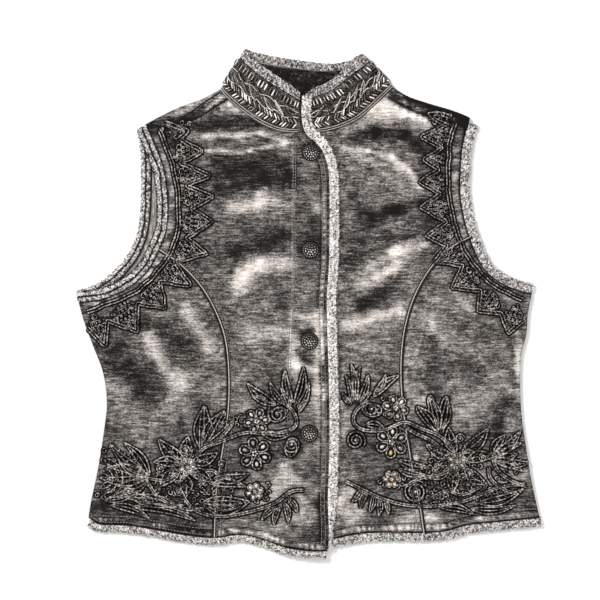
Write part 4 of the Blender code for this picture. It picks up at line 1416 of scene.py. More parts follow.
class Groups:
    """The effects that several finishes share, as shader node groups."""

    def __init__(self) -> None:
        """Builds each group once."""
        self.weave = self.build_weave()
        self.twist = self.build_twist()
        self.fibre = self.build_fibre()

    def build_weave(self) -> bpy.types.NodeTree:
        """Slubby yarns: long grains across the cloth, shorter ones down it, and a fine speck.

        Returns:
            The group.
        """
        nodes, entry, out = new_group(
            "weave", (("Place", "Vector"), ("Across", "Float")),
            (("Mask", "Float"), ("Height", "Float")))
        weft = nodes.noise(entry["Place"], (80.0, 520.0, 300.0), 2.0, 0.6)
        warp = nodes.noise(entry["Place"], (520.0, 75.0, 300.0), 2.0, 0.6)
        speck = nodes.noise(entry["Place"], (480.0, 820.0, 500.0), 2.0, 0.65)
        yarns = nodes.add("Mix", {0: entry["Across"], 2: warp, 3: weft}).outputs[0]
        mask = nodes.math("ADD", nodes.math("MULTIPLY", yarns, 0.5),
                          nodes.math("MULTIPLY", speck, 0.5))
        height = nodes.math("ADD", mask, nodes.math("MULTIPLY", warp, 0.2))
        nodes.feed(out, {"Mask": mask, "Height": height})
        return nodes.tree

    def build_twist(self) -> bpy.types.NodeTree:
        """Plies wound round a cord: a sine of the distance along it less the turn about it.

        Returns:
            The group.
        """
        nodes, entry, out = new_group(
            "twist", (("Along", "Float"), ("Turn", "Float"), ("Lay", "Float")),
            (("Mask", "Float"),))
        phase = nodes.math("ADD", nodes.math("DIVIDE", entry["Along"], entry["Lay"]),
                           entry["Turn"])
        wave = nodes.math("SINE", nodes.math("MULTIPLY", phase, 2 * math.pi))
        nodes.feed(out, {"Mask": nodes.math("MULTIPLY_ADD", wave, 0.5, 0.5)})
        return nodes.tree

    def build_fibre(self) -> bpy.types.NodeTree:
        """Loose cotton: coarse flecks over fine hair.

        Returns:
            The group.
        """
        nodes, entry, out = new_group(
            "fibre", (("Place", "Vector"),), (("Mask", "Float"), ("Height", "Float")))
        fleck = nodes.noise(entry["Place"], (720.0, 720.0, 720.0), 2.0, 0.7)
        hair = nodes.noise(entry["Place"], (1900.0, 1900.0, 1900.0), 2.0, 0.7)
        mask = nodes.math("ADD", nodes.math("MULTIPLY", fleck, 0.6),
                          nodes.math("MULTIPLY", hair, 0.4))
        nodes.feed(out, {"Mask": mask, "Height": hair})
        return nodes.tree


def blank(name: str) -> tuple[bpy.types.Material, Nodes, bpy.types.Node, bpy.types.NodeSocket]:
    """A new material with its nodes, its shader and the object coordinates.

    Args:
        name: the material's name.

    Returns:
        The material and those three.
    """
    material = bpy.data.materials.new(name)
    material.use_nodes = True
    nodes = Nodes(material.node_tree)
    shader = material.node_tree.nodes["Principled BSDF"]
    place = nodes.add("TexCoord").outputs["Object"]
    return material, nodes, shader, place


def bumped(nodes: Nodes, shader: bpy.types.Node, height: bpy.types.NodeSocket,
           depth: float) -> None:
    """Feeds a height in millimetres to the shader's normal."""
    bump = nodes.add("Bump", {"Height": height, "Distance": depth * METRES, "Strength": 1.0})
    nodes.feed(shader, {"Normal": bump.outputs["Normal"]})


def grey(value: float, warmth: float = 0.07) -> tuple[float, float, float]:
    """A grey that leans a little towards brown."""
    return (value * (1 + warmth * 1.4), value, value * (1 - warmth))


@dataclass(frozen=True)
class DenimFinish:
    """Acid-washed grey and black denim, paler where it is worn and where light is painted on, with
    a plain twill inside.
    """

    name: str = "washed_denim"
    stops: tuple = ((0.0, 0.008), (0.2, 0.021), (0.4, 0.075), (0.6, 0.2), (0.8, 0.38),
                    (1.0, 0.57), (1.25, 0.78))
    across: float = 0.93
    yarn: float = 2.3
    mottle: float = 0.42
    roughness: float = 0.85
    specular: float = 0.06
    relief: float = 0.35

    def material(self, groups: Groups) -> bpy.types.Material:
        """The material: the points' tone, shaken by the weave and a mottle, along the dye's ramp.

        Args:
            groups: the shared effects.

        Returns:
            The material.
        """
        material, nodes, shader, place = blank(self.name)
        weave = nodes.add("Group", {"Place": place, "Across": self.across},
                          node_tree=groups.weave)
        mottle = nodes.noise(place, (160.0, 200.0, 160.0), 4.0, 0.65)
        tone = nodes.shaken(nodes.value("tone"), weave.outputs["Mask"], self.yarn)
        tone = nodes.shaken(tone, mottle, self.mottle)
        outer = nodes.ramp(nodes.math("MULTIPLY", tone, 0.8),
                           [(0.8 * position, grey(value)) for position, value in self.stops])
        twill = nodes.noise(place, (560.0, 90.0, 300.0), 2.0, 0.6)
        reverse = nodes.ramp(nodes.math("ADD", nodes.math("MULTIPLY", twill, 0.7),
                                        nodes.math("MULTIPLY", weave.outputs["Mask"], 0.3)),
                             [(0.3, grey(0.05)), (0.5, grey(0.2)), (0.72, grey(0.5))])
        colour = nodes.add("Mix", {0: nodes.value("reverse"), 6: outer, 7: reverse},
                           data_type="RGBA").outputs[2]
        nodes.feed(shader, {"Base Color": colour, "Roughness": self.roughness,
                            "Specular IOR Level": self.specular})
        bumped(nodes, shader, weave.outputs["Height"], self.relief)
        return material


@dataclass(frozen=True)
class FrayedFinish:
    """Pale torn cotton, with painted shade in the pits between its loops."""

    name: str = "frayed_cotton"
    stops: tuple = ((0.15, 0.01), (0.32, 0.05), (0.48, 0.19), (0.68, 0.5), (0.95, 0.88))
    shake: float = 2.7
    warmth: float = 0.04
    relief: float = 0.3

    def material(self, groups: Groups) -> bpy.types.Material:
        """The material: the relief's crown shaken by the cotton's fibres, painted dark where it is
        low, as shade.

        Args:
            groups: the shared effects.

        Returns:
            The material.
        """
        material, nodes, shader, place = blank(self.name)
        fibre = nodes.add("Group", {"Place": place}, node_tree=groups.fibre)
        value = nodes.shaken(nodes.value("crown"), fibre.outputs["Mask"], self.shake)
        colour = nodes.ramp(value, [(at, grey(tone, self.warmth)) for at, tone in self.stops])
        nodes.feed(shader, {"Base Color": colour, "Roughness": 0.95, "Specular IOR Level": 0.15})
        bumped(nodes, shader, fibre.outputs["Height"], self.relief)
        return material


@dataclass(frozen=True)
class CordFinish:
    """Twisted cord with painted light: painted shade at its sides and a painted highlight on its
    crown.
    """

    name: str
    low: float
    side: float
    crown: float
    lay: float = 2.0
    uneven: float = 0.0
    groove: float = 0.12
    warmth: float = 0.08
    shake: float = 0.6
    relief: float = 0.25

    def material(self, groups: Groups) -> bpy.types.Material:
        """The material: painted light from the crown's height, with painted shade in the grooves
        between the plies.

        Args:
            groups: the shared effects.

        Returns:
            The material.
        """
        material, nodes, shader, place = blank(self.name)
        twist = nodes.add("Group", {"Along": nodes.value("along"), "Turn": nodes.value("turn"),
                                    "Lay": self.lay}, node_tree=groups.twist)
        fibre = nodes.add("Group", {"Place": place}, node_tree=groups.fibre)
        # A noise breaks up the painted highlight along the cord.
        highlight_breaks = nodes.noise(place, (150.0, 150.0, 150.0), 2.0)
        value = nodes.math("MULTIPLY_ADD", twist.outputs["Mask"], self.groove,
                           nodes.value("crown"))
        value = nodes.math("SUBTRACT", nodes.shaken(value, highlight_breaks, self.uneven, 0.55), 0.09)
        value = nodes.shaken(value, fibre.outputs["Mask"], self.shake)
        colour = nodes.ramp(value, [(position, grey(tone, self.warmth)) for position, tone in (
            (0.6, self.low), (0.84, self.side), (1.0, self.crown))])
        nodes.feed(shader, {"Base Color": colour, "Roughness": 0.75, "Specular IOR Level": 0.12})
        bumped(nodes, shader, twist.outputs["Mask"], self.relief)
        return material


@dataclass(frozen=True)
class BeadFinish:
    """Small glass beads: most grey, a few warm."""

    name: str = "bead_glass"

    def material(self, groups: Groups) -> bpy.types.Material:
        """The material: a colour for each bead from the number that its points carry.

        Args:
            groups: the shared effects.

        Returns:
            The material.
        """
        material, nodes, shader, place = blank(self.name)
        cloudy = nodes.noise(place, (700.0, 700.0, 700.0), 1.0)
        shade = nodes.shaken(nodes.value("shade"), cloudy, 0.1)
        colour = nodes.ramp(shade, [(0.0, grey(0.12)), (0.3, grey(0.35)), (0.82, grey(0.7)),
                                    (0.86, (0.75, 0.46, 0.16)), (1.0, (0.55, 0.3, 0.09))])
        nodes.feed(shader, {"Base Color": colour, "Roughness": 0.18, "Coat Weight": 0.6})
        return material


@dataclass(frozen=True)
class ButtonFinish:
    """Antiqued dark metal, bright only on the raised parts of its relief."""

    name: str = "antiqued_metal"

    def material(self, groups: Groups) -> bpy.types.Material:
        """The material: dark patina in the pits, rubbed metal on the crowns.

        Args:
            groups: the shared effects.

        Returns:
            The material.
        """
        material, nodes, shader, place = blank(self.name)
        patina = nodes.noise(place, (600.0, 600.0, 600.0), 3.0)
        value = nodes.shaken(nodes.value("crown"), patina, 0.35)
        colour = nodes.ramp(value, [(0.3, grey(0.01)), (0.6, grey(0.035)), (0.85, grey(0.22)),
                                    (1.0, grey(0.5))])
        rough = nodes.math("MULTIPLY_ADD", value, -0.3, 0.62)
        nodes.feed(shader, {"Base Color": colour, "Roughness": rough, "Metallic": 0.75})
        return material


@dataclass(frozen=True)
class FloorFinish:
    """A plain pale surface."""

    name: str = "pale_floor"
    tone: float = 0.9

    def material(self, groups: Groups) -> bpy.types.Material:
        """The material: nearly white, with the faintest grain.

        Args:
            groups: the shared effects.

        Returns:
            The material.
        """
        material, nodes, shader, place = blank(self.name)
        grain = nodes.noise(place, (30.0, 30.0, 30.0), 2.0)
        colour = nodes.ramp(grain, [(at, grey(tone, 0.0)) for at, tone in (
            (0.3, self.tone), (0.7, self.tone + 0.02))])
        nodes.feed(shader, {"Base Color": colour, "Roughness": 0.9, "Specular IOR Level": 0.1})
        return material


class Wardrobe:
    """Every material of the vest, built once."""

    def __init__(self) -> None:
        """Builds the groups and then the finishes."""
        groups = Groups()
        self.denim = DenimFinish().material(groups)
        self.frayed = FrayedFinish().material(groups)
        # Each cord finish paints its tubes lit on top and shaded at the sides; the shadow finish
        # is all dark, as painted shadow.
        self.cord = CordFinish("dark_cord", 0.004, 0.022, 0.62, 4.2, 0.4, 0.07).material(groups)
        self.collar_cord = CordFinish("collar_cord", 0.006, 0.09, 1.0, 1.8, 0.2).material(groups)
        self.thread = CordFinish("pale_thread", 0.03, 0.2, 0.75, 1.2).material(groups)
        self.shadow = CordFinish("painted_shadow_thread", 0.003, 0.006, 0.02, 3.0).material(groups)
        self.bead = BeadFinish().material(groups)
        self.metal = ButtonFinish().material(groups)
        self.floor = FloorFinish().material(groups)


@dataclass
class Panels:
    """The five denim panels: two for each front, and the back."""

    cloth: FrontCloth
    wash_and_light: WashAndPaintedLight
    wardrobe: Wardrobe
    spacing: float = 1.75
    back_spacing: float = 3.4
    wall: float = 1.2
    least: float = 0.5
    edge_roll: float = 0.4
    edge_reach: float = 0.9

    def build(self) -> list[bpy.types.Object]:
        """Builds every panel over its solid.

        Returns:
            The panels.
        """
        loops = self.cloth.pattern.loops()
        made = [self.front(node, loop) for node, loop in loops.items() if node != "back"]
        return [*made, self.back(loops["back"])]

    def front(self, node: str, loop: Array) -> bpy.types.Object:
        """A front's panel: the drape's height over a grid cut to the panel's outline.

        Args:
            node: the panel's solid.
            loop: its outline.

        Returns:
            The panel.
        """
        side = Side.RIGHT if "right" in node else Side.LEFT
        plan, faces = trimmed_grid(loop, self.spacing)
        under = self.cloth.underside(plan, side)
        rise, wear_and_shade = self.cloth.relief(plan, side)
        edge = distance(plan, np.vstack([loop, loop[:1]]))
        roll = np.exp(-((edge / self.edge_reach) ** 2))
        top = np.maximum(under + CLOTH + rise - self.edge_roll * roll, under + self.least)
        lower = np.maximum(top - self.wall, under)
        # Painted shade darkens the rolled edge; the creases add their painted shade and light.
        tone = self.wash_and_light.tone(plan) + wear_and_shade - 0.1 * roll
        form = closed_shell(np.c_[plan, lower], np.c_[plan, top], faces, {"tone": tone})
        form.values["reverse"] = 1.0 - form.values.pop("face")
        return make(f"{node}_cloth", form, self.wardrobe.denim, (node,), 50)

    def back(self, loop: Array) -> bpy.types.Object:
        """The back: flat where it rests, its inside facing up, with a soft unevenness there.

        Args:
            loop: the back's outline.

        Returns:
            The panel.
        """
        plan, faces = trimmed_grid(loop, self.back_spacing)
        x, y = plan.T
        edge = distance(plan, np.vstack([loop, loop[:1]]))
        roll = np.exp(-((edge / self.edge_reach) ** 2))
        top = CLOTH + 0.15 * cloud(x, y, 14.0, 51) - 0.4 * roll
        # Painted shade darkens the back's rolled edge.
        tone = self.wash_and_light.tone(plan * (-1, 0.45) + (0.0, 70.0)) - 0.2 * roll
        form = closed_shell(np.c_[plan, 0.0 * x], np.c_[plan, top], faces, {"tone": tone})
        form.values["reverse"] = form.values.pop("face")
        return make("back_cloth", form, self.wardrobe.denim, ("back",), 50)

    def declare(self, trims: Sequence[bpy.types.Object]) -> None:
        """Goes over the panels' outlines and does nothing with them.

        Args:
            trims: the frayed strips and their fibres; not used.
        """
        for node, loop in self.cloth.pattern.loops().items():
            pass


@dataclass
class CollarForm:
    """The stand collar's folded wall, with a plane of its own to lay cords out in."""

    cloth: FrontCloth
    floor: float = 0.02

    def __post_init__(self) -> None:
        """Works out the middle surface along the neck and from the base to the top."""
        base, top = [], []
        for i, (x, y, z, top_x, top_y, top_z) in enumerate(COLLAR_SECTIONS):
            if z is None:
                side = Side.RIGHT if i < COLLAR_FRONT_ROWS else Side.LEFT
                z = float(self.cloth.underside(np.array([(x, y)]), side)[0]) + CLOTH / 2
            base.append((x, y, z))
            top.append((top_x, top_y, top_z))
        share = np.linspace(0, 1, COLLAR_FINE_ROWS)[:, None]
        base, top = curve_between(base, COLLAR_FINE), curve_between(top, COLLAR_FINE)
        grid = base[:, None] * (1 - share) + top[:, None] * share
        rise = COLLAR_BULGE * np.sin(math.pi * share[:, 0])
        grid[..., 2] += np.where(grid[..., 2] > COLLAR_FOLD_HEIGHT, rise, 0.0)
        along, across = np.gradient(grid, axis=0), np.gradient(grid, axis=1)
        normal = np.cross(across, along)
        self.middle = grid
        self.normal = normal / np.linalg.norm(normal, axis=2, keepdims=True)
        self.reach = lengths(grid[:, COLLAR_FINE_ROWS // 3])

    def read(self, grid: Array, s: Array, h: Array) -> Array:
        """A grid's values at a distance along the neck and a height above the base.

        Args:
            grid: values along the neck and up the collar.
            s: distances along the neck.
            h: heights above the base.

        Returns:
            The values there.
        """
        columns, rows = grid.shape[:2]
        i = np.interp(s, self.reach, np.arange(columns))
        j = np.clip(np.asarray(h, float) / COLLAR_HEIGHT, 0, 1) * (rows - 1)
        p, q = np.minimum(i.astype(int), columns - 2), np.minimum(j.astype(int), rows - 2)
        a, b = (i - p)[..., None], (j - q)[..., None]
        low = grid[p, q] * (1 - a) + grid[p + 1, q] * a
        high = grid[p, q + 1] * (1 - a) + grid[p + 1, q + 1] * a
        return low * (1 - b) + high * b

    def place(self, s: Array, h: Array, lift: float | Array) -> Array:
        """Points off the middle surface by a lift, kept above the floor.

        Args:
            s: distances along the neck.
            h: heights above the base.
            lift: how far off the middle surface, positive outside.

        Returns:
            The places, in millimetres.
        """
        s, h = np.broadcast_arrays(np.asarray(s, float), np.asarray(h, float))
        lift = np.broadcast_to(lift, s.shape)[..., None]
        points = self.read(self.middle, s, h) + lift * self.read(self.normal, s, h)
        points[..., 2] = np.maximum(points[..., 2], self.floor)
        return points


@dataclass
class Collar:
    """The collar's cloth, its trim, and the rows of cord work on it."""

    form: CollarForm
    wardrobe: Wardrobe
    step: float = 1.3
    trim_step: float = 0.9
    piping_radius: float = 0.62
    piping_heights: tuple[float, ...] = (0.9, 3.0)
    feather_radius: float = 1.1
    feather_height: float = 9.6
    leaf_radius: float = 0.85
    leaf_heights: tuple[float, ...] = (15.3, 18.2, 20.6, 23.2, 26.0)
    ladder_radius: float = 1.25
    ladder_height: float = 27.4
    inside_radius: float = 0.75
    seed: int = 61

    def build(self) -> list[bpy.types.Object]:
        """Builds the cloth, the trim, and then each row from the base up.

        Returns:
            The collar's pieces.
        """
        self.random = np.random.default_rng(self.seed)
        self.length = float(self.form.reach[-1])
        turn = COLLAR_FRONT_ROWS * COLLAR_FINE
        self.right_end = float(self.form.reach[turn])
        self.left_start = float(self.form.reach[-1 - turn])
        band, trim = self.band(), self.trim()
        return [band, trim, self.piping(), self.feather(), self.flames(), self.ladder(),
                self.inside()]

    def grid(self, low: float, high: float, step: float) -> tuple[Array, Array]:
        """Distances along and heights of a grid over a stretch of the collar.

        Args:
            low: height of the lowest row.
            high: height of the topmost row.
            step: about the spacing.

        Returns:
            The distances, and the heights.
        """
        s = np.linspace(0, self.length, round(self.length / step) + 1)
        h = np.linspace(low, high, max(3, round((high - low) / step) + 1))
        return tuple(grid.T for grid in np.meshgrid(s, h))

    def band(self) -> bpy.types.Object:
        """The denim band: gathered a little by its cords, as clouds drawn out across it.

        Returns:
            The piece.
        """
        s, h = self.grid(0.0, COLLAR_HEIGHT - COLLAR_TRIM, self.step)
        pucker = 0.35 * cloud(s, h, 4.0, 62) + 0.25 * cloud(s, h / 3, 2.5, 63)
        outer = self.form.place(s, h, CLOTH / 2 - 0.35 + pucker)
        inner = self.form.place(s, h, -CLOTH / 2 - 0.5 * pucker)
        outer[..., 2] = np.maximum(outer[..., 2], 0.3)
        faces = grid_faces(*s.shape)
        # Painted light: raised puckers are painted paler and their hollows darker.
        tone = 0.3 + 0.4 * pucker
        form = closed_shell(inner.reshape(-1, 3), outer.reshape(-1, 3), faces,
                            {"tone": tone.ravel(), "reverse": 0.0 * tone.ravel()})
        # Painted shade: the band's inside face is darker.
        form.values["tone"] = form.values["tone"] - 0.22 * (1.0 - form.values.pop("face"))
        return make("collar_band", form.turned_out(), self.wardrobe.denim,
                    ("collar",), 50)

    def trim(self) -> bpy.types.Object:
        """The frayed trim along the top: lumpy on both faces, ragged at its upper edge.

        Returns:
            The piece.
        """
        low = COLLAR_HEIGHT - COLLAR_TRIM + COLLAR_SEAM
        s, h = self.grid(low, COLLAR_HEIGHT, self.trim_step)
        share = (h - low) / (COLLAR_HEIGHT - low)
        ragged = h + share**3 * 0.9 * cloud(s, s * 0, 1.4, 64)
        crown = boucle(s, h, 65)
        thick = TRIM_THICKNESS / 2 * (0.55 + 0.45 * np.sin(math.pi * share))
        outer = self.form.place(s, ragged, thick + 0.7 * (crown - 0.5))
        inner = self.form.place(s, ragged, -thick - 0.5 * (boucle(s, h, 66) - 0.5))
        outer[..., 2] = np.maximum(outer[..., 2], 0.35)
        form = closed_shell(inner.reshape(-1, 3), outer.reshape(-1, 3), grid_faces(*s.shape),
                            {"crown": crown.ravel() - 0.09})
        return make("collar_fray", form.turned_out(), self.wardrobe.frayed,
                    ("collar_trim",), 60)

    def shades(self, count: int) -> Array:
        """How bright the painted highlight on each of a row's stitches is, most of them little."""
        return 0.82 + 0.36 * self.random.uniform(0, 1, count)

    def strokes(self, s: Array, h: Array, to_s: Array, to_h: Array, lift: float,
                bend: float = 0.0) -> list[Array]:
        """Short stitches between two rows of places, bowed up by the bend.

        Args:
            s: where along the neck each stitch starts.
            h: how high it starts.
            to_s: where it ends.
            to_h: how high it ends.
            lift: how far off the middle surface it lies.
            bend: how far it is bowed.

        Returns:
            A path for each stitch.
        """
        t = np.linspace(0, 1, 5)
        along = s[:, None] * (1 - t) + to_s[:, None] * t
        height = h[:, None] * (1 - t) + to_h[:, None] * t
        raised = lift + 0.25 * np.sin(math.pi * t) + 0 * along
        return list(self.form.place(along + bend * np.sin(math.pi * t), height, raised))

    def fronts(self, step: float, margin: float = 3.0) -> Array:
        """Distances along both front stretches of the collar, shaken a little.

        Args:
            step: about the spacing.
            margin: bare stretch at each end.

        Returns:
            The distances.
        """
        right = np.arange(margin, self.right_end + 10.0, step)
        left = np.arange(self.left_start - 10.0, self.length - margin, step)
        s = np.concatenate([right, left])
        return s + self.random.uniform(-0.18, 0.18, len(s)) * step

    def rows(self, heights: Sequence[float], wave: float, length: float,
             step: float = 1.6) -> list[Array]:
        """Cords that run along both fronts at a height, swaying by a wave.

        Args:
            heights: height of each cord.
            wave: how far a cord sways.
            length: length of a sway.
            step: spacing of a cord's points.

        Returns:
            Two paths for each height.
        """
        paths = []
        for number, height in enumerate(heights):
            for start, end in ((1.0, self.right_end + 12.0),
                               (self.left_start - 12.0, self.length - 1.0)):
                s = np.arange(start, end, step)
                sway = wave * np.sin(2 * math.pi * s / length + 1.3 * number)
                sway += 0.5 * wave * cloud(s, s * 0, length / 2, 70 + number)
                paths.append(self.form.place(s, height + sway, CLOTH / 2 + 0.2))
        return paths

    def piping(self) -> bpy.types.Object:
        """Two thin pale cords along the base.

        Returns:
            The piece.
        """
        paths = self.rows(self.piping_heights, 0.0, 50.0)
        form = tubes(paths, self.piping_radius)
        return make("collar_piping", form, self.wardrobe.thread)

    def feather(self) -> bpy.types.Object:
        """A band of V stitches that point along the collar, above the piping.

        Returns:
            The piece.
        """
        s = self.fronts(3.3)
        middle = np.full(len(s), self.feather_height)
        reach = 4.6 + self.random.uniform(-0.5, 0.5, len(s))
        lean = np.where(s < self.length / 2, 3.6, -3.6)
        paths = self.strokes(s, middle + 0.3, s + lean, middle + reach, CLOTH / 2 + 0.25)
        paths += self.strokes(s, middle - 0.3, s + lean, middle - reach, CLOTH / 2 + 0.25)
        form = cords_with_painted_shadow(paths, self.feather_radius, 0.6, self.shades(len(paths)))
        return make("collar_feather_stitch", form, self.wardrobe.collar_cord)

    def flames(self) -> bpy.types.Object:
        """Leaf shapes that flow along the middle of the collar, between swaying cords.

        Returns:
            The piece.
        """
        paths = self.rows(self.leaf_heights, 1.3, 23.0)
        t = np.linspace(0, 1, 16)
        for start in self.fronts(11.0, 6.0):
            lean = 1.0 if start < self.length / 2 else -1.0
            tip = self.random.uniform(6.0, 10.0)
            for bulge in (-1.9, 0.0, 1.9):
                s = start + lean * 14.0 * t
                h = 15.5 + tip * t**1.4 + bulge * np.sin(math.pi * t)
                paths.append(self.form.place(s, h, CLOTH / 2 + 0.45))
        form = cords_with_painted_shadow(paths, self.leaf_radius, 0.5, self.shades(len(paths)) - 0.1)
        return make("collar_leaf_cord", form, self.wardrobe.collar_cord)

    def ladder(self) -> bpy.types.Object:
        """A row of slanted satin stitches under the trim, with a thin cord above it.

        Returns:
            The piece.
        """
        s = self.fronts(4.6)
        low = self.ladder_height + self.random.uniform(-0.6, 0.6, len(s))
        lean = np.where(s < self.length / 2, -1.6, 1.6)
        paths = self.strokes(s, low, s + lean, low + 6.0, CLOTH / 2 + 0.3)
        form = cords_with_painted_shadow(paths, self.ladder_radius, 0.6, self.shades(len(paths)))
        return make("collar_ladder_stitch", form, self.wardrobe.collar_cord)

    def inside(self) -> bpy.types.Object:
        """The stitches' backs inside the collar, which show behind the neck.

        Returns:
            The piece.
        """
        start, end = self.right_end + 8.0, self.left_start - 8.0
        paths = []
        for height, reach, step in ((27.0, 5.5, 4.6), (16.5, 5.0, 6.0), (7.0, 4.0, 5.2)):
            s = np.arange(start, end, step)
            s = s + self.random.uniform(-1.2, 1.2, len(s))
            low = height + self.random.uniform(-1.5, 1.5, len(s))
            high = low + reach * self.random.uniform(0.5, 1.1, len(s))
            to_s = s + self.random.uniform(-1.5, 1.5, len(s))
            paths += self.strokes(s, low, to_s, high, -CLOTH / 2 - 0.2, 0.6)
        form = tubes(paths, self.inside_radius, 5, 1.0, 0.95)
        return make("collar_inside_stitch", form, self.wardrobe.cord)


def boucle(s: Array, t: Array, seed: int) -> Array:
    """Loops of torn cotton: two clouds of the loops' size, sharpened, from 0 to 1."""
    lumps = 0.3 * cloud(s, t, 2.2, seed) + 0.7 * cloud(s + 40.0, t - 17.0, 1.1, seed + 1)
    return np.clip(0.54 + 0.45 * lumps, 0.0, 1.0)


@dataclass
class Trim:
    """One frayed strip inside an outer edge, with its loose fibres."""

    name: str
    node: str
    path: Array
    width: float | Array
    inward: float
    under: Callable[[Array], Array]
    seed: int
    centred: bool = False
    parting: float = 0.0
    bleach: float = 0.0
    step: float = 0.75
    ragged: float = 0.9
    relief: float = 1.0
    least: float = 0.4
    parting_reach: float = 0.09
    fibre_step: float = 0.9
    fibre_length: float = 1.9

    def build(self, wardrobe: Wardrobe) -> list[bpy.types.Object]:
        """Builds the strip and its fibres.

        Args:
            wardrobe: the materials.

        Returns:
            The strip and its fibres.
        """
        path = self.path
        width = np.broadcast_to(self.width, len(path))
        places = evened(np.c_[path, width], self.step)
        path, width = places[:, :2], places[:, 2]
        left = self.inward * sideways(path)
        s = lengths(path)[:, None]
        columns = max(4, round(float(width.max()) / self.step) + 1)
        share = np.linspace(0, 1, columns)[None]
        reach = share * width[:, None]
        if self.centred:
            reach = reach - width[:, None] / 2
        ragged = self.ragged * cloud(s, s * 0, 1.3, self.seed) * (1 - share) ** 4
        plan = path[:, None] + (reach - ragged)[..., None] * left[:, None]
        crown = boucle(s + 0 * share, share * width[:, None], self.seed + 1)
        sway = 0.06 * cloud(s, s * 0, 11.0, self.seed + 3)
        parted = np.exp(-(((share - 0.5 - sway) / self.parting_reach) ** 2))
        # The parting is a groove down the strip, which the finish paints dark as shade.
        crown = crown - self.parting * parted
        crown = crown + self.bleach * (0.6 + 0.8 * np.abs(2 * share - 1) ** 3)
        flat = plan.reshape(-1, 2)
        lower = self.under(flat)
        profile = 0.5 + 0.5 * np.sin(math.pi * np.clip(share, 0.04, 0.96))
        top = lower + (TRIM_THICKNESS * profile - self.relief * (1 - crown)).ravel()
        top = np.maximum(top, lower + self.least)
        form = closed_shell(np.c_[flat, lower], np.c_[flat, top], grid_faces(*crown.shape),
                            {"crown": crown.ravel()})
        strip = make(self.name, form.turned_out(), wardrobe.frayed,
                     (self.node,), 60)
        fibres = make(f"{self.name}_fibres", self.fibres(path, left, width), wardrobe.frayed)
        return [strip, fibres]

    def fibres(self, path: Array, left: Array, width: Array) -> Form:
        """Short bent threads that stand out of the raw edge, three-sided and tapered.

        Args:
            path: the strip's outer edge.
            left: the way in from it, at each point.
            width: the strip's width at each point.

        Returns:
            All the threads.
        """
        random = np.random.default_rng(self.seed + 5)
        along = lengths(path)
        count = round(along[-1] / self.fibre_step)
        s = random.uniform(0, along[-1], count)
        read = np.c_[path, left, width]
        x, y, left_x, left_y, wide = (np.interp(s, along, column) for column in read.T)
        start = -wide / 2 if self.centred else 0 * wide
        base = np.c_[x + left_x * (start + 1.0), y + left_y * (start + 1.0)]
        out = -np.c_[left_x, left_y]
        side = np.c_[-out[:, 1], out[:, 0]]
        lean = random.uniform(-1.1, 1.1, count)[:, None]
        reach = (1.0 + self.fibre_length * random.uniform(0.35, 1.0, count))[:, None]
        low = self.under(base)[:, None] + random.uniform(0.5, 1.3, count)[:, None]
        t = np.array([0.0, 0.55, 1.0])
        plan = base[:, None] + reach[:, None] * (t[None, :, None] * out[:, None]
                                                 + (t**2)[None, :, None] * (lean * side)[:, None])
        height = low + random.uniform(-0.3, 0.5, count)[:, None] * t
        middle = np.dstack([plan, np.maximum(height, 0.2)])
        turns = np.linspace(0, 2 * math.pi, 3, endpoint=False)
        thick = np.array([0.3, 0.26, 0.14])[None, :, None, None]
        ring = (np.cos(turns)[None, None, :, None] * np.c_[side, 0 * s][:, None, None]
                + np.sin(turns)[None, None, :, None] * np.array([0.0, 0.0, 1.0]))
        points = middle[:, :, None] + thick * ring
        index = np.arange(count * 9).reshape(count, 3, 3)
        after = np.roll(index, -1, axis=2)
        quads = np.stack([index[:, :-1], after[:, :-1], after[:, 1:], index[:, 1:]], axis=-1)
        caps = np.vstack([index[:, 0, ::-1], index[:, 2]])
        crown = np.repeat(random.uniform(0.35, 1.0, count), 9)
        return Form(points.reshape(-1, 3), [quads.reshape(-1, 4), caps],
                    {"crown": crown}).turned_out()


